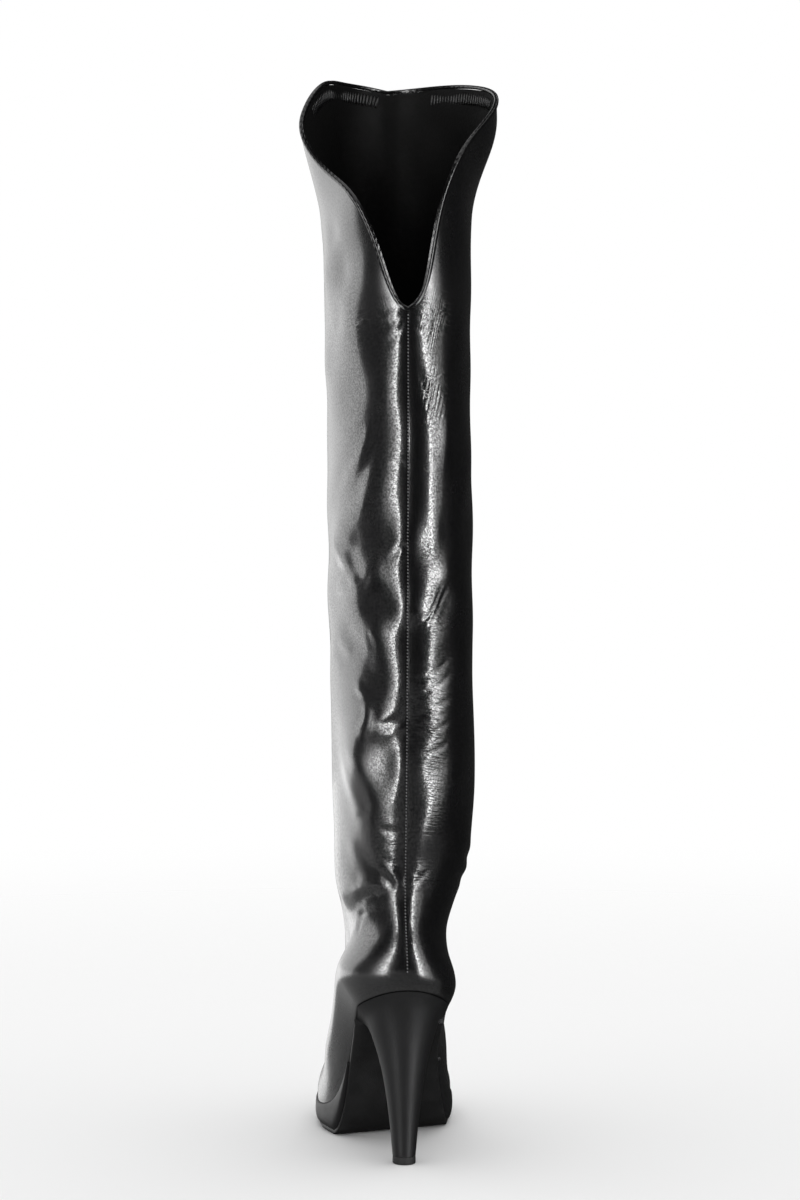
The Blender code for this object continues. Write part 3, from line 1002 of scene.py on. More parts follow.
@dataclass
class Plan:
    """Points and faces gathered for one mesh, with a coordinate pair for each face corner."""

    points: list[Array] = field(default_factory=list)
    faces: list[list[int]] = field(default_factory=list)
    corners: list[Array] = field(default_factory=list)
    count: int = 0

    def add(self, points: Array) -> int:
        """Adds points in millimetres on the last.

        Args:
            points: an array whose last axis holds X, Y and Z.

        Returns:
            The number of the first of them.
        """
        first = self.count
        flat = np.asarray(points, float).reshape(-1, 3)
        self.points.append(flat)
        self.count += len(flat)
        return first

    def tube(self, grid: Array, flip: bool = False, coords: Array | None = None) -> int:
        """Adds a grid of rows that close round their columns, with its faces.

        Args:
            grid: points by row and column.
            flip: True to turn the faces over.
            coords: coordinate pairs by row and column, with one more column that closes the ring.

        Returns:
            The number of the grid's first point.
        """
        rows, columns = grid.shape[:2]
        first = self.add(grid)
        i, j = (part.ravel() for part in np.mgrid[0 : rows - 1, 0:columns])
        k = (j + 1) % columns
        quads = np.stack([i * columns + j, i * columns + k, (i + 1) * columns + k, (i + 1) * columns + j], 1)
        marks = np.zeros((len(quads), 4, 2))
        if coords is not None:
            marks = np.stack([coords[i, j], coords[i, j + 1], coords[i + 1, j + 1], coords[i + 1, j]], 1)
        if flip:
            quads, marks = quads[:, ::-1], marks[:, ::-1]
        self.faces += (quads + first).tolist()
        self.corners.append(marks.reshape(-1, 2))
        return first

    def bridge(self, a: int, b: int, columns: int) -> None:
        """Joins two rings of the same size by quads.

        Args:
            a: first point of the ring whose run the faces follow.
            b: first point of the other ring.
            columns: points in each ring.
        """
        for j in range(columns):
            k = (j + 1) % columns
            self.faces.append([a + j, a + k, b + k, b + j])
        self.corners.append(np.zeros((4 * columns, 2)))

    def cap(self, loop: Sequence[int]) -> None:
        """Adds one face over a loop of points.

        Args:
            loop: point numbers in the face's order.
        """
        self.faces.append(list(loop))
        self.corners.append(np.zeros((len(loop), 2)))

    def piece(self, name: str, finish: Finish, sharp: float = 40.0) -> bpy.types.Object:
        """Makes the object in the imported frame.

        Args:
            name: the piece's name.
            finish: its finish.
            sharp: angle in degrees over which an edge stays crisp.

        Returns:
            The new object.
        """
        mesh = bpy.data.meshes.new(name)
        mesh.from_pydata(to_frame(np.concatenate(self.points)), [], self.faces)
        coords = mesh.uv_layers.new(name="leather_metres")
        coords.data.foreach_set("uv", (np.concatenate(self.corners) * MM).ravel())
        mesh.shade_smooth()
        mesh.set_sharp_from_angle(angle=math.radians(sharp))
        mesh.materials.append(finish.material())
        mesh.update()
        return put(name, mesh)


def settle(piece: bpy.types.Object, node: str) -> None:
    """Puts a finished piece in its CAD node's stead.

    Args:
        piece: the piece.
        node: the CAD node that it stands for.
    """
    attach(piece, BODY)
    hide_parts(node)
    LOG.info("%s stands for %s, %d faces", piece.name, node, len(piece.data.polygons))


@dataclass
class Last:
    """The form that the boot is made on: the sole's outline, the feather surface and the ground."""

    length: float = 236.0
    ball_width: float = 91.0
    heel_height: float = 114.0
    platform_height: float = 17.0
    toe_spring: float = 6.0
    toe_drift: float = 4.0
    heel_round: float = 29.0
    toe_round: float = 68.0
    toe_square: float = 2.2
    ball_skew: float = 0.34
    skew_grows: tuple[float, float] = (40.0, 125.0)
    skew_fades: tuple[float, float] = (165.0, 225.0)
    contact_start: float = 126.0
    contact_end: float = 190.0
    waist_end: float = 78.0
    platform_start: float = 85.0
    outsole: float = 3.0
    gap: float = 0.3
    solve_steps: int = 20

    def __post_init__(self) -> None:
        """Smooths the sole's table."""
        self.outer = Curve(SOLE, "along", "outer")
        self.inner = Curve(SOLE, "along", "inner")
        self.pitch = Curve(SOLE, "along", "pitch")

    def edge(self, y: Array, side: Array, inset: Array) -> Array:
        """Finds the sole's outline.

        Args:
            y: places along the foot.
            side: -1 for the outer side, 1 for the inner.
            inset: how far inside the outline.

        Returns:
            X of the outline.
        """
        share = np.clip(y, 0.0, self.length) / self.length
        half = self.ball_width * np.where(side < 0, self.outer(share), self.inner(share)) - inset
        heel = np.clip((inset + self.heel_round - y) / self.heel_round, 0.0, 1.0)
        toe = np.clip((y - self.length + inset + self.toe_round) / self.toe_round, 0.0, 1.0)
        half = half * np.sqrt(1 - heel**2) * (1 - toe**self.toe_square) ** (1 / self.toe_square)
        return self.toe_drift * ease(y, 0.5 * self.length, self.length) + side * half

    def skew(self, s: Array) -> Array:
        """Gives how far a line across the foot runs forward for each mm of width."""
        return self.ball_skew * ease(s, *self.skew_grows) * (1 - ease(s, *self.skew_fades))

    def station(self, x: Array, y: Array) -> Array:
        """Finds the slanted line across the foot that points lie on.

        Args:
            x: across the foot.
            y: along the foot.

        Returns:
            Their places along the last.
        """
        s = np.asarray(y, float)
        for _ in range(self.solve_steps):
            s = y - self.skew(s) * x
        return s

    def ends(self, s: Array, side: Array, inset: Array) -> tuple[Array, Array]:
        """Finds where lines across the foot meet the outline.

        Args:
            s: places along the last.
            side: -1 for the outer side, 1 for the inner.
            inset: how far inside the outline.

        Returns:
            X and Y of the ends.
        """
        y = np.asarray(s, float)
        for _ in range(self.solve_steps):
            y = s + self.skew(s) * self.edge(y, side, inset)
        return self.edge(y, side, inset), y

    def seat_at(self, s: Array) -> Array:
        """Gives the height of the feather surface at places along the last."""
        return self.platform_height + (self.heel_height - self.platform_height) * self.pitch(s / self.length)

    def seat(self, x: Array, y: Array) -> Array:
        """Gives the height of the feather surface, where upper and insole stand."""
        return self.seat_at(self.station(x, y))

    def waist_under(self, s: Array) -> Array:
        """Gives the height of the underside at the waist, one outsole below the feather surface."""
        slope = self.seat_at(s + 0.5) - self.seat_at(s - 0.5)
        return self.seat_at(s) - self.gap - self.outsole * np.hypot(1.0, slope)

    def ground_at(self, s: Array) -> Array:
        """Finds the outsole's underside: waist, flat tread and toe spring.

        Args:
            s: places along the last.

        Returns:
            Heights of the underside.
        """
        span = self.contact_start - self.waist_end
        t = np.clip((s - self.waist_end) / span, 0.0, 1.0)
        start = self.waist_under(np.array(self.waist_end))
        slope = start - self.waist_under(np.array(self.waist_end - 1.0))
        fall = start * (1 + 2 * t) * (1 - t) ** 2 + slope * span * t * (1 - t) ** 2
        spring = np.clip((s - self.contact_end) / (self.length - self.contact_end), 0.0, None)
        return np.where(s < self.waist_end, self.waist_under(s), fall + self.toe_spring * spring**2)

    def outsole_top(self, s: Array) -> Array:
        """Gives the height of the outsole's upper side, under the upper or under the platform."""
        under_platform = self.ground_at(s) + self.outsole
        return np.where(s >= self.platform_start, under_platform, self.seat_at(s) - self.gap)


@dataclass
class Leg:
    """The upper's plain outer face: foot, ankle, shaft and the flared collar with its notch."""

    last: Last
    ankle: float = 170.0
    notch: float = 539.5
    top: float = 688.0
    rim_lift: float = 0.2
    binding: float = 2.7
    flare_start: float = 597.0
    flare_end: float = 663.0
    ankle_reach: float = 16.0
    ankle_share: float = 0.10
    toe_from: tuple[float, float] = (55.0, 150.0)
    quarter_to: tuple[float, float] = (100.0, 150.0)
    ball_from: tuple[float, float] = (112.0, 155.0)

    def __post_init__(self) -> None:
        """Smooths the tables of foot, shaft and collar."""
        self.spread = Curve(SPREAD, "heading", "along", True)
        self.ring = {name: Curve(SHAFT, "height", name) for name in RingRow._fields[1:]}
        self.climb = {name: Curve(CLIMB, "step", name) for name in ClimbRow._fields[1:]}
        self.collar_edge = {name: Curve(COLLAR, "heading", name) for name in EdgeRow._fields[1:]}

    def collar(self, turn: Array) -> Array:
        """Gives the height of the wall's edge round the collar."""
        heading = np.abs(turn)
        share = np.where(turn < 0, self.collar_edge["outer"](heading), self.collar_edge["inner"](heading))
        return blend(self.notch, self.top - self.binding, share)

    def shaft(self, turn: Array, height: Array) -> Array:
        """Finds points of the shaft.

        Args:
            turn: angles round the leg.
            height: heights above the floor.

        Returns:
            Points, X, Y and Z on the last axis.
        """
        turn, height = np.broadcast_arrays(turn, height)
        heading, angle, side = polar(turn)
        ring = {name: curve(height) for name, curve in self.ring.items()}
        out = np.zeros_like(heading)
        for which, flare in FLARES.items():
            lean = flare.reach * hump(heading - flare.heading, flare.spread)
            out = np.where(side == which.value, lean, out)
        out = out * ease(height, self.flare_start, self.flare_end)
        narrow = 1 - ring["taper"] * np.maximum(np.cos(angle), 0.0) ** 2
        x = side * (np.where(turn < 0, ring["outer"], ring["inner"]) + out) * np.sin(angle) * narrow
        middle, half = (ring["back"] + ring["front"]) / 2, (ring["front"] - ring["back"]) / 2
        return np.stack([x, middle - half * np.cos(angle) - ring["twist"] * x, height], -1)

    def foot(self, turn: Array, step: Array) -> Array:
        """Finds points between the feather line and the ankle ring.

        Args:
            turn: angles round the leg.
            step: shares of the climb.

        Returns:
            Points, X, Y and Z on the last axis.
        """
        turn, step = np.broadcast_arrays(turn, step)
        heading, angle, side = polar(turn)
        y = self.last.length * self.spread(heading)
        x = self.last.edge(y, side, np.zeros_like(y))
        start = np.stack([x, y, self.last.seat(x, y) + self.rim_lift], -1)
        end = self.shaft(turn, np.full(turn.shape, self.ankle))
        climb = {name: curve(step) for name, curve in self.climb.items()}
        toe = ease(y, *self.toe_from)
        run, rise = blend(step, climb["run"], toe), blend(step, climb["rise"], toe)
        quarter = np.sin(angle) ** 2 * (1 - ease(y, *self.quarter_to))
        counter = np.maximum(np.cos(angle), 0.0) ** 2
        ball = ease(y, *self.ball_from) * np.minimum(2 * np.sin(angle), 1.0)
        swell = counter * climb["back"] + quarter * np.where(turn < 0, climb["outer"], climb["inner"])
        plan = blend(start, end, run[..., None])
        return np.stack(
            [
                plan[..., 0] + side * (np.sin(angle) * swell + ball * climb["ball"]),
                plan[..., 1] - np.cos(angle) * swell,
                blend(start[..., 2], end[..., 2], rise),
            ],
            -1,
        )

    def grid(self, turns: Array, foot_rows: int, shaft_rows: int) -> Array:
        """Lays rows of points from the feather line to the collar.

        Args:
            turns: angles of the columns.
            foot_rows: rows up to the ankle.
            shaft_rows: rows above it.

        Returns:
            Points by row and column.
        """
        steps = np.arange(foot_rows)[:, None] / foot_rows
        shares = np.linspace(0.0, 1.0, shaft_rows)[:, None]
        heights = blend(self.ankle, self.collar(turns)[None, :], shares)
        grid = np.concatenate([self.foot(turns[None, :], steps), self.shaft(turns[None, :], heights)])
        return self.soften(grid)

    def soften(self, grid: Array) -> Array:
        """Rounds the bend at the ankle ring, where foot and shaft meet.

        Args:
            grid: points by row and column.

        Returns:
            The grid with its rows near the ring evened out.
        """
        near = hump(grid[..., 2:] - self.ankle, self.ankle_reach)
        passes = max(1, round(len(grid) * self.ankle_share))
        for _ in range(passes):
            even = grid.copy()
            even[1:-1] = (grid[:-2] + 2 * grid[1:-1] + grid[2:]) / 4
            grid = blend(grid, even, near)
        return grid


def ring_normals(grid: Array) -> Array:
    """Gives the outward normals of a grid that closes round its columns."""
    across = np.roll(grid, -1, axis=1) - np.roll(grid, 1, axis=1)
    return unit(np.cross(across, np.gradient(grid, axis=0)))


def ring_coords(grid: Array, back: int) -> Array:
    """Measures a closed grid along its faces.

    Args:
        grid: points by row and column.
        back: the column from which the way round is measured.

    Returns:
        The way round and the way up, by row and column, with one more column that closes the ring.
    """
    closed = np.concatenate([grid, grid[:, :1]], axis=1)
    round_way = np.cumsum(np.linalg.norm(np.diff(closed, axis=1), axis=2), axis=1)
    round_way = np.concatenate([np.zeros((len(grid), 1)), round_way], axis=1)
    up_way = np.cumsum(np.linalg.norm(np.diff(closed, axis=0), axis=2), axis=0)
    up_way = np.concatenate([np.zeros((1, closed.shape[1])), up_way])
    return np.stack([round_way - round_way[:, back : back + 1], up_way], -1)


@dataclass
class Relief:
    """How far the worn leather stands off the plain form: creases, swells, seams and a slight unevenness.

    A cut is a depth and a half width. Other pairs say where something sets in and where it is full.
    """

    samples: int = 18
    crease_ends: float = 0.06
    crease_fade: float = 4.0
    shoulder: float = 0.3
    seed: int = 11
    waves: int = 26
    wave_height: float = 0.10
    wave_folds: tuple[int, int] = (1, 9)
    wave_lengths: tuple[float, float] = (45.0, 190.0)
    foot_share: float = 0.12
    soft_from: tuple[float, float] = (150.0, 240.0)
    vamp_top: float = 120.0
    vamp_bow: float = 7.0
    vamp_facing: tuple[float, float] = (0.15, 0.45)
    vamp_ends: float = 0.12
    seam_low: float = 118.0
    seam_fade: float = 9.0
    seam_cuts: tuple[tuple[float, float], ...] = ((0.30, 3.6), (0.12, 0.9))
    front_low: float = 236.0
    front_fade: float = 14.0
    front_cut: tuple[float, float] = (0.45, 0.9)

    def crease(self, item: Crease, turns: Array, way: Array, height: Array) -> Array:
        """Presses one crease.

        Args:
            item: the crease.
            turns: angles of the columns.
            way: the way round from the back seam, by row and column.
            height: heights, by row and column.

        Returns:
            How far the leather moves outward.
        """
        start, middle, end = (np.array(point, float) for point in item[:3])
        pull = 2 * middle - (start + end) / 2
        nearest = np.full(way.shape, np.inf)
        share = np.zeros(way.shape)
        for t in np.linspace(0.0, 1.0, self.samples):
            turn, level = (1 - t) ** 2 * start + 2 * t * (1 - t) * pull + t * t * end
            j = int(np.clip(np.searchsorted(turns, turn) - 1, 0, len(turns) - 2))
            part = (turn - turns[j]) / (turns[j + 1] - turns[j])
            there = blend(way[:, j], way[:, j + 1], part)
            away = (way - there[:, None]) ** 2 + (height - level) ** 2
            closer = away < nearest
            nearest = np.where(closer, away, nearest)
            share = np.where(closer, t, share)
        distance = np.sqrt(nearest)
        to_end = np.minimum(share, 1.0 - share) + self.crease_ends
        fade = np.clip(self.crease_fade * to_end, 0.0, 1.0)
        shoulder = self.shoulder * hump(distance - 2 * item.width, item.width)
        return -item.depth * fade * (hump(distance, item.width) - shoulder)

    def at(self, grid: Array, turns: Array, coords: Array) -> Array:
        """Works out the whole relief of a grid.

        Args:
            grid: points of the plain form, by row and column.
            turns: angles of the columns.
            coords: the way round and up that ring_coords gives.

        Returns:
            How far each point moves outward.
        """
        way, height = coords[:, :-1, 0], grid[..., 2]
        lift = np.zeros(way.shape)
        for item in CREASES:
            lift += self.crease(item, turns, way, height)
        for item in SWELLS:
            there = np.array([np.interp(item.turn, turns, row) for row in way])[:, None]
            near = hump(way - there, item.round_reach) * hump(height - item.height, item.up_reach)
            lift += item.rise * near
        lift += self.unevenness(turns, height)
        lift -= self.vamp(grid)
        return lift + self.seams(way, height)

    def unevenness(self, turns: Array, height: Array) -> Array:
        """Adds up low random waves, faint on the lasted foot and full on the shaft.

        Args:
            turns: angles of the columns.
            height: heights, by row and column.

        Returns:
            How far the leather moves outward.
        """
        angle = np.radians(turns)[None, :]
        soft = blend(self.foot_share, 1.0, ease(height, *self.soft_from))
        lift = np.zeros(height.shape)
        rng = np.random.default_rng(self.seed)
        for _ in range(self.waves):
            folds, length = int(rng.integers(*self.wave_folds)), rng.uniform(*self.wave_lengths)
            phase = rng.uniform(0.0, math.tau)
            lean = rng.choice((-1.0, 1.0))
            lift += self.wave_height * soft * np.cos(folds * angle + lean * math.tau * height / length + phase)
        return lift

    def vamp(self, grid: Array) -> Array:
        """Presses the flex lines of the vamp, each a little bowed.

        Args:
            grid: points of the plain form, by row and column.

        Returns:
            How far the leather sinks.
        """
        facing = ease(ring_normals(grid)[..., 2], *self.vamp_facing) * (grid[..., 2] < self.vamp_top)
        depth = np.zeros(facing.shape)
        for fold in VAMP_FOLDS:
            run = np.array((fold.inner_x - fold.outer_x, fold.inner_y - fold.outer_y))
            x, y = np.moveaxis(grid[..., :2] - np.array((fold.outer_x, fold.outer_y)), -1, 0)
            t = np.clip((x * run[0] + y * run[1]) / (run @ run), 0.0, 1.0)
            bow = self.vamp_bow * np.sin(math.pi * t)
            off = np.abs((x * run[1] - y * run[0]) / np.linalg.norm(run) + bow)
            depth += fold.depth * facing * ease(t * (1 - t), 0.0, self.vamp_ends) * hump(off, fold.width)
        return depth

    def seams(self, way: Array, height: Array) -> Array:
        """Sinks the leather to the slit of the closed back seam and to the plain front seam.

        Args:
            way: the way round from the back seam.
            height: heights.

        Returns:
            How far the leather moves outward.
        """
        back = ease(height, self.seam_low, self.seam_low + self.seam_fade)
        slit = sum(depth * hump(way, width) for depth, width in self.seam_cuts)
        front = ease(height, self.front_low, self.front_low + self.front_fade)
        reach = np.abs(way).max(axis=1, keepdims=True) - np.abs(way)
        depth, width = self.front_cut
        return -back * slit - front * depth * hump(reach, width)


@dataclass
class Upper:
    """The upper: a glossy leather wall and the lining inside it."""

    leg: Leg
    relief: Relief
    leather: float = 1.2
    wall: float = 2.0
    gap: float = 0.08
    fine_turns: tuple[float, ...] = (0.0, 0.5, 1.0, 1.5, 2.0, 2.5, 3.1, 3.8, 4.7, 5.8, 7.0)
    columns: int = 92
    outer_rows: tuple[int, int] = (70, 252)
    inner_rows: tuple[int, int] = (28, 92)
    lining_columns: int = 60
    lining_rows: tuple[int, int] = (30, 110)

    def turns(self, columns: int) -> Array:
        """Spaces the columns, close together at the back seam.

        Args:
            columns: how many lead from the seam to the front on each side.

        Returns:
            Angles from -180 to just under 180.
        """
        rest = np.linspace(self.fine_turns[-1], 180.0, columns)[1:]
        return mirrored(np.concatenate([self.fine_turns, rest]))

    def face(self, turns: Array, rows: tuple[int, int], depth: float) -> tuple[Array, Array, Array]:
        """Lays one face of the wall.

        Args:
            turns: angles of the columns.
            rows: rows of the foot and of the shaft.
            depth: how far inside the outer face.

        Returns:
            The points, the coordinates along the face, and the plain grid.
        """
        plain = self.leg.grid(turns, *rows)
        coords = ring_coords(plain, len(turns) // 2)
        lift = self.relief.at(plain, turns, coords)
        grid = plain + ring_normals(plain) * (lift - depth)[..., None]
        if depth:
            x, y = grid[0, :, 0], grid[0, :, 1]
            grid[0, :, 2] = self.leg.last.seat(x, y) + self.leg.rim_lift
        return grid, coords, plain

    def shell(
        self,
        name: str,
        columns: int,
        rows: Sequence[tuple[int, int]],
        depths: Sequence[float],
        finish: Finish,
    ) -> bpy.types.Object:
        """Builds a closed wall between two faces.

        Args:
            name: the piece's name.
            columns: columns on each side.
            rows: rows of foot and shaft, for the outer and the inner face.
            depths: how far inside the plain form the two faces lie.
            finish: the wall's finish.

        Returns:
            The piece.
        """
        turns = self.turns(columns)
        outside, coords, plain = self.face(turns, rows[0], depths[0])
        inside, inner_coords, _ = self.face(turns, rows[1], depths[1])
        plan = Plan()
        a = plan.tube(outside, False, coords)
        b = plan.tube(inside, True, inner_coords)
        count = len(turns)
        plan.bridge(b, a, count)
        plan.bridge(a + (len(outside) - 1) * count, b + (len(inside) - 1) * count, count)
        piece = plan.piece(name, finish, sharp=70.0)
        self.mark_leather(piece, turns, plain, len(inside) * count)
        return piece

    def mark_leather(self, piece: bpy.types.Object, turns: Array, plain: Array, inner_count: int) -> None:
        """Writes where the leather is wrinkled or softly glossed, for its finish to read.

        Args:
            piece: the wall.
            turns: angles of its columns.
            plain: the outer face's plain grid.
            inner_count: points of the inner face, which stays smooth.
        """
        for mark in Mark:
            strength = np.zeros(plain.shape[:2])
            for patch in PATCHES:
                if patch.mark is mark:
                    near = hump(turns[None, :] - patch.turn, patch.turn_reach)
                    strength += patch.strength * near * hump(plain[..., 2] - patch.height, patch.up_reach)
            values = np.concatenate([strength.ravel(), np.zeros(inner_count)])
            piece.data.attributes.new(mark.value, "FLOAT", "POINT").data.foreach_set("value", values)

    def build(self) -> None:
        """Builds leather and lining and puts them in the upper's stead."""
        leather = self.shell(
            "upper_leather",
            self.columns,
            (self.outer_rows, self.inner_rows),
            (0.0, self.leather),
            CALF,
        )
        settle(leather, "upper")
        lining = self.shell(
            "upper_lining",
            self.lining_columns,
            (self.lining_rows, self.lining_rows),
            (self.leather + self.gap, self.wall),
            LINING,
        )
        settle(lining, "upper")


@dataclass
class CollarBinding:
    """The rolled strip round the collar: two fine beads with a groove between them.

    The pairs of its profile give the way across, for the groove as a share, and a share of the rise.
    """

    leg: Leg
    wall: float = 2.0
    proud: float = 0.4
    rise: float = 2.4
    gap: float = 0.3
    columns: int = 240
    crowding: float = 1.25
    rows: tuple[int, int] = (4, 60)
    bead: tuple[tuple[float, float], ...] = (
        (-0.10, 0.00),
        (0.12, 0.30),
        (0.15, 0.62),
        (-0.12, 0.90),
        (-0.52, 1.00),
    )
    groove: tuple[tuple[float, float], ...] = ((0.36, 0.86), (0.50, 0.74), (0.64, 0.86))

    def rim(self, turns: Array) -> tuple[Array, Array, Array]:
        """Finds the wall's edge with its directions.

        Args:
            turns: angles round the leg.

        Returns:
            Edge points, outward normals and the ways up from the edge.
        """
        grid = self.leg.grid(turns, *self.rows)
        normals = ring_normals(grid)[-1]
        edge = np.roll(grid[-1], -1, axis=0) - np.roll(grid[-1], 1, axis=0)
        return grid[-1], normals, unit(np.cross(normals, edge))

    def build(self) -> None:
        """Builds the strip and puts it in the binding's stead."""
        turns = mirrored(180.0 * np.linspace(0.0, 1.0, self.columns // 2 + 1) ** self.crowding)
        rim, normals, up = self.rim(turns)
        outside, inside = self.proud, -self.wall - self.proud
        profile = [(outside + out, share) for out, share in self.bead]
        profile += [(blend(outside, inside, across), share) for across, share in self.groove]
        profile += [(inside - out, share) for out, share in reversed(self.bead)]
        grid = np.stack([rim + normals * out + up * (self.gap + share * self.rise) for out, share in profile])
        coords = ring_coords(grid, len(turns) // 2)
        plan = Plan()
        first = plan.tube(grid, False, coords)
        plan.bridge(first + (len(profile) - 1) * len(turns), first, len(turns))
        settle(plan.piece("rolled_collar_edge", EDGE), "collar_binding")


class RowTree:
    """A Geometry Nodes tree that lays one small bead again and again along a path."""

    SIZES = tuple(name.title() for name in Bead._fields)

    def __init__(self) -> None:
        """Builds the tree once."""
        tree = bpy.data.node_groups.new("bead_row", "GeometryNodeTree")
        tree.interface.new_socket("Path", in_out="INPUT", socket_type="NodeSocketGeometry")
        for name in self.SIZES:
            tree.interface.new_socket(name, in_out="INPUT", socket_type="NodeSocketFloat")
        tree.interface.new_socket("Finish", in_out="INPUT", socket_type="NodeSocketMaterial")
        tree.interface.new_socket("Row", in_out="OUTPUT", socket_type="NodeSocketGeometry")
        given = add_node(tree, "NodeGroupInput").outputs
        path = add_node(tree, "GeometryNodeMeshToCurve", {"Mesh": given["Path"]})
        spaced = add_node(
            tree,
            "GeometryNodeResampleCurve",
            {"Curve": path.outputs[0], "Length": given["Spacing"]},
            mode="LENGTH",
        )
        out = add_node(tree, "GeometryNodeInputNamedAttribute", {"Name": "facing"}, data_type="FLOAT_VECTOR")
        facing = out.outputs["Attribute"]
        lift = add_node(tree, "ShaderNodeVectorMath", {0: facing, "Scale": given["Lift"]}, operation="SCALE")
        raised = add_node(
            tree, "GeometryNodeSetPosition", {"Geometry": spaced.outputs[0], "Offset": lift.outputs[0]}
        )
        tangent = add_node(tree, "GeometryNodeInputTangent")
        along = add_node(tree, "FunctionNodeAlignRotationToVector", {"Vector": tangent.outputs[0]}, axis="X")
        square = add_node(
            tree,
            "FunctionNodeAlignRotationToVector",
            {"Rotation": along.outputs[0], "Vector": facing},
            axis="Z",
            pivot_axis="X",
        )
        slant = add_node(tree, "ShaderNodeCombineXYZ", {"Z": given["Slant"]})
        euler = add_node(tree, "FunctionNodeEulerToRotation", {0: slant.outputs[0]})
        turned = add_node(
            tree,
            "FunctionNodeRotateRotation",
            {0: square.outputs[0], 1: euler.outputs[0]},
            rotation_space="LOCAL",
        )
        bead = add_node(tree, "GeometryNodeMeshUVSphere", {"Segments": 8, "Rings": 5, "Radius": 0.5})
        size = add_node(
            tree, "ShaderNodeCombineXYZ", {"X": given["Length"], "Y": given["Width"], "Z": given["Thickness"]}
        )
        shaped = add_node(
            tree, "GeometryNodeTransform", {"Geometry": bead.outputs["Mesh"], "Scale": size.outputs[0]}
        )
        smooth = add_node(tree, "GeometryNodeSetShadeSmooth", {"Geometry": shaped.outputs[0]})
        laid = add_node(
            tree,
            "GeometryNodeInstanceOnPoints",
            {"Points": raised.outputs[0], "Instance": smooth.outputs[0], "Rotation": turned.outputs[0]},
        )
        real = add_node(tree, "GeometryNodeRealizeInstances", {"Geometry": laid.outputs[0]})
        dressed = add_node(
            tree, "GeometryNodeSetMaterial", {"Geometry": real.outputs[0], "Material": given["Finish"]}
        )
        add_node(tree, "NodeGroupOutput", {0: dressed.outputs[0]})
        self.tree = tree

    def lay(
        self, name: str, paths: Sequence[tuple[Array, Array]], bead: Bead, finish: Finish
    ) -> bpy.types.Object:
        """Lays the beads and makes them a plain mesh.

        Args:
            name: the piece's name.
            paths: points in millimetres and outward directions of each path.
            bead: the sizes of each bead and its slant about its outward direction.
            finish: the beads' finish.

        Returns:
            The piece.
        """
        points = to_frame(np.concatenate([path for path, _ in paths]))
        edges, first = [], 0
        for path, _ in paths:
            edges += [(first + i, first + i + 1) for i in range(len(path) - 1)]
            first += len(path)
        mesh = bpy.data.meshes.new(name)
        mesh.from_pydata(points, edges, [])
        facing = np.concatenate([out for _, out in paths])
        mesh.attributes.new("facing", "FLOAT_VECTOR", "POINT").data.foreach_set("vector", facing.ravel())
        piece = put(name, mesh)
        rows = piece.modifiers.new("rows", "NODES")
        rows.node_group = self.tree
        values = dict(zip(self.SIZES, [size * MM for size in bead]))
        values |= {"Slant": math.radians(bead.slant), "Finish": finish.material()}
        for item in self.tree.interface.items_tree:
            if item.in_out == "INPUT" and item.name in values:
                rows[item.identifier] = values[item.name]
        bpy.context.view_layer.update()
        done = bpy.data.meshes.new_from_object(piece.evaluated_get(bpy.context.evaluated_depsgraph_get()))
        piece.modifiers.remove(rows)
        piece.data = done
        done.name = name
        return piece


@dataclass
class Sewing:
    """The thread of the back seam and the gathers of the facing inside the collar."""

    upper: Upper
    binding: CollarBinding
    seam_low: float = 126.0
    seam_rows: tuple[int, int] = (60, 160)
    seam_end: float = 1.5
    seam_reach: int = 4
    pleat_drop: float = 6.5
    pleat_lift: float = 0.1
    pleat_columns: int = 181
    pleat_runs: tuple[tuple[float, float], ...] = ((-173.0, -104.0), (100.0, 146.0))

    def seam_path(self) -> tuple[Array, Array]:
        """Follows the back seam from the counter to the notch.

        Returns:
            Its points and outward directions.
        """
        turns = self.upper.turns(self.upper.lining_columns)
        grid, _, _ = self.upper.face(turns, self.seam_rows, 0.0)
        seam = int(np.argmin(np.abs(turns)))
        middle = grid[:, seam]
        across = grid[:, seam + self.seam_reach] - grid[:, seam - self.seam_reach]
        out = unit(np.cross(across, np.gradient(middle, axis=0)))
        height = middle[:, 2]
        keep = (height > self.seam_low) & (height < self.upper.leg.notch - self.seam_end)
        return middle[keep], out[keep]

    def pleat_path(self, start: float, end: float) -> tuple[Array, Array]:
        """Follows the facing inside the collar.

        Args:
            start: turn of its beginning.
            end: turn of its end.

        Returns:
            Points on the lining and directions into the boot.
        """
        turns = mirrored(np.linspace(0.0, 180.0, self.pleat_columns))
        rim, normals, up = self.binding.rim(turns)
        keep = (turns >= start) & (turns <= end)
        inside = rim - normals * (self.binding.wall + self.pleat_lift) - up * self.pleat_drop
        return inside[keep], -normals[keep]

    def build(self, rows: RowTree) -> None:
        """Sews the seam and gathers the facing.

        Args:
            rows: the tree that lays the beads.
        """
        seam = rows.lay("back_seam_thread", [self.seam_path()], SEAM_STITCH, THREAD)
        settle(seam, "upper")
        runs = [self.pleat_path(start, end) for start, end in self.pleat_runs]
        pleats = rows.lay("facing_pleats", runs, FACING_PLEAT, FACING)
        settle(pleats, "upper")


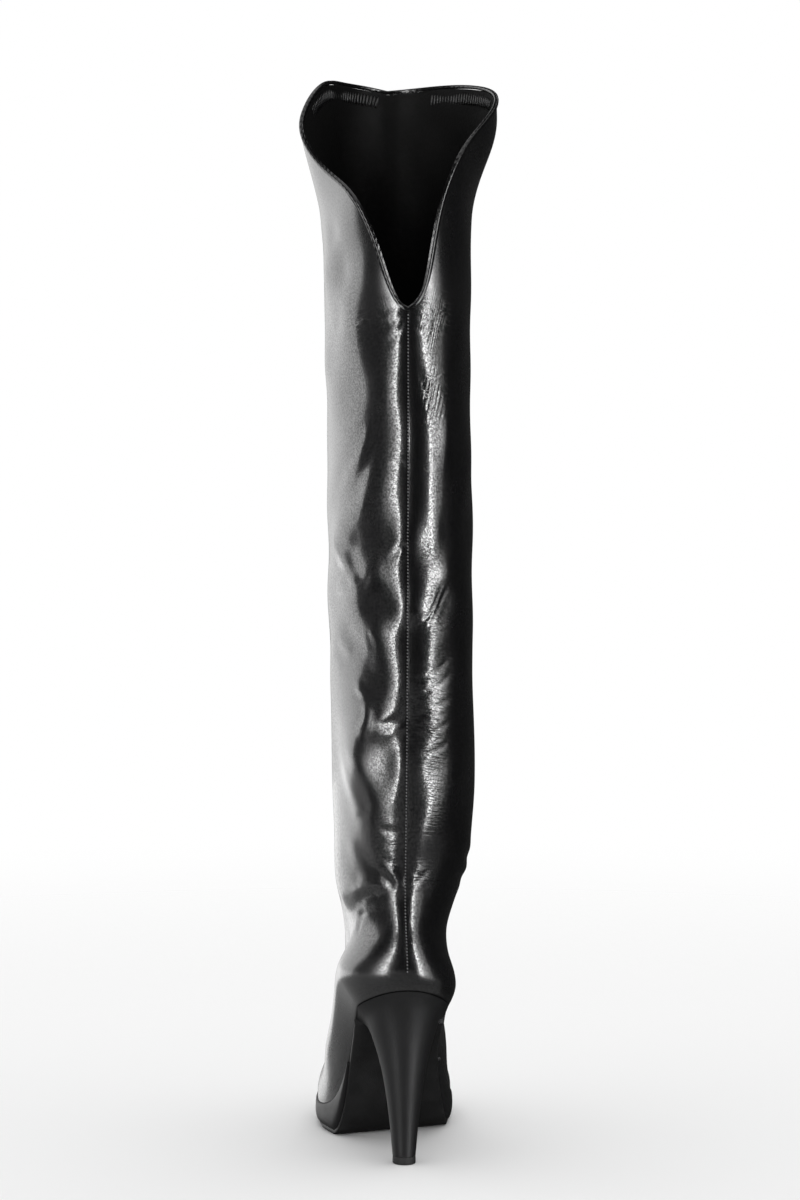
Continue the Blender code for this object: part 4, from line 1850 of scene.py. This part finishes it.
@dataclass
class SoleUnit:
    """Platform, outsole and insole, lofted along the last between rails at their edges.

    The fields named places say where a run of stations lies along the last, and how many it has.
    """

    last: Last
    breast: float = 50.0
    insole: float = 2.5
    wall: float = 2.0
    sock_gap: float = 0.8
    sock_bevel: tuple[float, float] = (0.6, 0.5)
    waist_edge: float = -0.5
    tread_edge: float = 1.5
    edge_run: tuple[float, float] = (-5.0, 25.0)
    heel_places: int = 22
    waist_places: int = 16
    waist_stop: float = 0.5
    arch_places: tuple[float, int] = (133.0, 40)
    tread_places: tuple[float, float, int] = (135.0, 186.0, 22)
    strips: int = 8
    toe_tip: float = 0.25
    toe_places: int = 34

    def slab(
        self, name: str, places: Array, rails: Sequence[tuple[Height, Height]], finish: Finish
    ) -> bpy.types.Object:
        """Lofts a sole layer.

        Args:
            name: the piece's name.
            places: stations along the last, before the toe.
            rails: inset and height of each rail, from the top edge to the bottom.
            finish: the layer's finish.

        Returns:
            The piece.
        """
        edges = {side: [] for side in Side}
        for inset, height in rails:
            end = self.last.length - float(inset(np.array(self.last.length)))
            bend = np.sin(math.pi / 2 * np.arange(self.toe_places) / self.toe_places)
            s = np.concatenate([places, blend(self.last.contact_end, end, bend), [end - self.toe_tip]])
            for side in Side:
                x, y = self.last.ends(s, np.full(s.shape, float(side.value)), inset(s))
                edges[side].append(np.stack([x, y, height(s)], -1))
        inner, outer = edges[Side.INNER], edges[Side.OUTER][::-1]
        shares = np.arange(1, self.strips) / self.strips
        under = [blend(inner[-1], outer[0], share) for share in shares]
        over = [blend(outer[-1], inner[0], share) for share in shares]
        grid = np.stack(inner + under + outer + over, 1)
        plan = Plan()
        plan.tube(grid, False, ring_coords(grid, 0))
        size, last_row = grid.shape[1], (len(grid) - 1) * grid.shape[1]
        for i in range(len(rails) - 1):
            low = range(len(rails), len(rails) + self.strips - 1) if i == len(rails) - 2 else ()
            far = 2 * len(rails) + self.strips - 2
            high = range(far + 1, size) if i == 0 else ()
            loop = [i, i + 1, *low, far - i - 1, far - i, *high]
            plan.cap(loop[::-1])
            plan.cap([last_row + point for point in loop])
        return plan.piece(name, finish, sharp=50.0)

    def platform_level(self, share: float) -> Height:
        """Gives heights a share of the way down the platform's side."""
        gap = self.last.gap
        return lambda s: blend(self.last.seat_at(s) - gap, self.last.outsole_top(s) + gap, share)

    def outsole_level(self, share: float) -> Height:
        """Gives heights a share of the way down the outsole's side."""
        return lambda s: blend(self.last.outsole_top(s), self.last.ground_at(s), share)

    def sock_level(self, rise: float) -> Height:
        """Gives heights above the feather surface."""
        return lambda s: self.last.seat_at(s) + rise

    def outsole_edge(self, more: float) -> Height:
        """Gives the outsole's inset, full at the waist and trimmed under the platform."""
        start, end = (self.last.waist_end + run for run in self.edge_run)
        return lambda s: blend(self.waist_edge, self.tread_edge, ease(s, start, end)) + more

    def build(self) -> None:
        """Builds the three layers and puts them in their nodes' stead."""
        gap, start = self.last.gap, self.last.platform_start
        waist = np.linspace(self.breast + gap, start - self.waist_stop, self.waist_places)
        tread = np.concatenate([np.linspace(start, *self.arch_places), np.linspace(*self.tread_places)])
        rails = [(steady(row.inset), self.platform_level(row.share)) for row in PLATFORM_SIDE]
        settle(self.slab("covered_platform", tread, rails, COVER), "platform")
        rails = [(self.outsole_edge(row.inset), self.outsole_level(row.share)) for row in OUTSOLE_SIDE]
        outsole = self.slab("leather_outsole", np.concatenate([waist, tread]), rails, SOLE_LEATHER)
        settle(outsole, "outsole")
        inset = self.wall + self.sock_gap
        bend = np.linspace(0.0, math.pi / 2, self.heel_places)[:-1]
        heel = blend(inset + gap, self.breast, 1 - np.cos(bend))
        across, down = self.sock_bevel
        rails = [
            (steady(inset + across), self.sock_level(self.insole)),
            (steady(inset), self.sock_level(self.insole - down)),
            (steady(inset), self.sock_level(2 * gap)),
        ]
        sock = self.slab("sock_board", np.concatenate([heel, waist, tread]), rails, SOCK)
        settle(sock, "insole")


@dataclass
class HeelUnit:
    """The tall tapered heel with its flared top, and the rubber tip under it."""

    last: Last
    rings: int = 48
    arc: int = 20
    arc_depth: float = 0.62
    side_steps: int = 8
    corner_round: float = 0.992
    breast_hollow: float = 0.05
    breast_shares: tuple[float, ...] = (0.975, 0.85, 0.65, 0.45, 0.22)
    crowding: float = 1.15
    top_gap: float = 0.4

    def __post_init__(self) -> None:
        """Smooths the table of the heel's sections."""
        self.curves = {name: Curve(HEEL_BLOCKS, "place", name) for name in BlockRow._fields[1:]}

    def ring(self, block: BlockRow) -> Array:
        """Draws a D-shaped section, from beside the back by the inner side, breast and outer side.

        Args:
            block: the section's sizes.

        Returns:
            Its points.
        """
        angle = np.radians(90.0 * np.arange(1, self.arc + 1) / self.arc)
        half = list(zip(np.sin(angle), self.arc_depth * (1 - np.cos(angle))))
        for share in np.arange(1, self.side_steps + 1) / self.side_steps:
            half.append((1 - block.corner * share**2, blend(self.arc_depth, 1.0, share)))
        corner = 1 - block.corner
        half[-1] = (corner * self.corner_round, self.corner_round)
        for share in self.breast_shares:
            half.append((corner * share, 1 - self.breast_hollow * (1 - share**2)))
        outer = [(-x, y) for x, y in reversed(half)]
        x, y = np.array([*half, (0.0, 1 - self.breast_hollow), *outer, (0.0, 0.0)]).T
        place = blend(block.back, block.front, y)
        return np.stack([x * block.half_width, place, blend(block.back_height, block.front_height, y)], -1)

    def loft(self, name: str, rings: Sequence[Array], finish: Finish) -> bpy.types.Object:
        """Lofts sections from top to bottom.

        Args:
            name: the piece's name.
            rings: the sections.
            finish: the piece's finish.

        Returns:
            The piece.
        """
        grid = np.stack(rings)
        plan = Plan()
        first = plan.tube(grid, True, ring_coords(grid, 0))
        count = grid.shape[1]
        for start, flip in ((first, False), (first + (len(grid) - 1) * count, True)):
            loop = list(range(start, start + count))
            plan.cap(loop[::-1] if flip else loop)
        return plan.piece(name, finish, sharp=35.0)

    def build(self) -> None:
        """Builds heel and tip and puts them in their nodes' stead."""
        rings = []
        first = self.ring(HEEL_BLOCKS[0])
        cut = self.last.seat(first[:, 0], first[:, 1]) - self.top_gap - first[:, 2]
        tip = HEEL_BLOCKS[-1]
        for place in np.linspace(0.0, 1.0, self.rings) ** self.crowding * tip.place:
            block = BlockRow(place, *(float(curve(np.array(place))) for curve in self.curves.values()))
            points = self.ring(block)
            points[:, 2] += cut * max(0.0, 1.0 - place)
            rings.append(points)
        settle(self.loft("covered_heel", rings, HEEL_COVER), "heel")
        rings = []
        for height, trim in HEEL_TIP:
            sizes = (tip.back + trim, tip.front - trim, tip.half_width - trim)
            rings.append(self.ring(BlockRow(tip.place, height, height, *sizes, tip.corner)))
        settle(self.loft("rubber_tip", rings, RUBBER), "heel_top_piece")


class Lamp(NamedTuple):
    """A soft light: its place and size in metres, and its brightness from its left to its right edge."""

    name: str
    place: tuple[float, float, float]
    width: float
    height: float
    left: float
    right: float
    core: float
    on_floor: bool = False
    aim: tuple[float, float, float] = (0.0, 0.0, 0.45)


LAMPS = (
    Lamp("overhead_softbox", (0.0, 0.1, 2.7), 2.6, 2.6, 1.5, 1.5, 1.0, True),
    Lamp("outer_strip", (-1.19, -1.07, 0.66), 0.66, 2.12, 1.0, 21.0, 2.5),
    Lamp("inner_strip", (1.27, -0.97, 0.62), 1.05, 2.20, 24.0, 1.4, 3.5),
    Lamp("outer_backdrop", (-1.45, 1.75, 0.70), 3.5, 2.6, 0.62, 2.5, 1.0),
    Lamp("outer_wall", (-2.4, -0.6, 0.70), 1.6, 2.4, 0.10, 0.10, 1.0),
    Lamp("outer_floor", (-0.78, 0.85, 0.004), 1.5, 1.9, 0.02, 0.9, 0.45, aim=(-0.78, 0.85, 1.0)),
    Lamp("near_floor", (0.0, -0.60, 0.004), 1.2, 1.0, 0.16, 0.55, 2.0, aim=(0.0, -0.60, 1.0)),
)


@dataclass
class Studio:
    """The pale floor, the soft lights and the camera, which stands behind the heel."""

    azimuth: float = 5.0
    distance: float = 2500.0
    eye: float = 540.0
    aim_across: float = -4.4
    aim_height: float = 359.0
    heel_back: float = 12.0
    lens: float = 120.0
    sensor: float = 36.0
    sight: float = 50.0
    floor_radius: float = 1.6
    floor_rings: int = 24
    floor_columns: int = 96
    room: float = 0.03
    fill: float = 0.70

    def at(self, across: float, deep: float, height: float) -> Vector:
        """Finds a point in the camera's own directions.

        Args:
            across: to the right of the boot's back, in millimetres.
            deep: away from the camera, from the heel's back.
            height: above the floor.

        Returns:
            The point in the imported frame.
        """
        angle = math.radians(self.azimuth)
        deep += self.heel_back
        x = across * math.cos(angle) + deep * math.sin(angle)
        y = -across * math.sin(angle) + deep * math.cos(angle)
        return Vector((x, y, height)) * MM + ORIGIN

    def camera(self) -> None:
        """Sets the camera at the height of the notch, tilted down a little."""
        data = bpy.data.cameras.new("camera")
        data.lens, data.sensor_width, data.clip_end = self.lens, self.sensor, self.sight
        eye = put("camera", data)
        eye.location = self.at(0.0, -self.distance, self.eye)
        look_at(eye, self.at(self.aim_across, 0.0, self.aim_height))
        bpy.context.scene.camera = eye

    def lamps(self) -> None:
        """Hangs the softboxes, each as bright as its face is to look."""
        for lamp in LAMPS:
            data = bpy.data.lights.new(lamp.name, "AREA")
            data.shape, data.size, data.size_y = "RECTANGLE", lamp.width, lamp.height
            data.energy = math.pi * lamp.width * lamp.height
            data.use_nodes = True
            tree = data.node_tree
            across = add_node(tree, "ShaderNodeNewGeometry").outputs["Parametric"]
            share = add_node(tree, "ShaderNodeSeparateXYZ", {0: across}).outputs["X"]
            dim, bright = sorted((lamp.left, lamp.right))
            ends = (0.0, 1.0) if lamp.right == bright else (1.0, 0.0)
            near = add_node(
                tree, "ShaderNodeMapRange", {"Value": share, "From Min": ends[0], "From Max": ends[1]}
            )
            core = add_node(tree, "ShaderNodeMath", {0: near.outputs[0], 1: lamp.core}, operation="POWER")
            fall = add_node(
                tree, "ShaderNodeMapRange", {"Value": core.outputs[0], "To Min": dim, "To Max": bright}
            )
            tree.links.new(fall.outputs[0], tree.nodes["Emission"].inputs["Strength"])
            light = put(lamp.name, data)
            light.location = lamp.place
            look_at(light, Vector(lamp.aim))
            light.visible_camera = False
            light.visible_diffuse = lamp.on_floor

    def world(self) -> None:
        """Makes the room white to look at, dim in reflections and soft on the floor."""
        world = bpy.data.worlds.new("white_room")
        world.use_nodes = True
        tree = world.node_tree
        shade = tree.nodes["Background"]
        ray = add_node(tree, "ShaderNodeLightPath").outputs
        soft = add_node(
            tree, "ShaderNodeMix", {0: ray["Is Glossy Ray"], 2: self.fill, 3: self.room}, data_type="FLOAT"
        )
        seen = add_node(
            tree, "ShaderNodeMix", {0: ray["Is Camera Ray"], 2: soft.outputs[0], 3: 1.0}, data_type="FLOAT"
        )
        shade.inputs["Color"].default_value = linear("#ffffff")
        tree.links.new(seen.outputs[0], shade.inputs["Strength"])
        bpy.context.scene.world = world
        bpy.context.scene.view_settings.view_transform = "Standard"

    def floor(self) -> None:
        """Lays the paper under the boot."""
        rings, columns = self.floor_rings, self.floor_columns
        radius = self.floor_radius * np.linspace(0.0, 1.0, rings + 1)[1:]
        angle = np.radians(360.0 * np.arange(columns) / columns)
        points = [(0.0, 0.0, 0.0)]
        points += [(r * math.cos(a), r * math.sin(a), 0.0) for r in radius for a in angle]
        faces = [(0, 1 + j, 1 + (j + 1) % columns) for j in range(columns)]
        for i in range(rings - 1):
            for j in range(columns):
                k, a = (j + 1) % columns, 1 + i * columns
                faces.append((a + j, a + columns + j, a + columns + k, a + k))
        mesh = bpy.data.meshes.new("floor")
        mesh.from_pydata(points, [], faces)
        mesh.materials.append(PAPER.material())
        floor = put("floor", mesh)
        floor.visible_glossy = False

    def build(self) -> None:
        """Sets up camera, lights, room and floor."""
        self.camera()
        self.lamps()
        self.world()
        self.floor()
        LOG.info("studio with %d lamps", len(LAMPS))


def main() -> None:
    """Builds the boot's sub-assemblies and the studio in order."""
    logging.basicConfig(level=logging.INFO, format="%(message)s")
    last = Last()
    leg = Leg(last)
    binding = CollarBinding(leg)
    Studio().build()
    upper = Upper(leg, Relief())
    upper.build()
    binding.build()
    Sewing(upper, binding).build(RowTree())
    SoleUnit(last).build()
    HeelUnit(last).build()


if __name__ == "__main__":
    main()
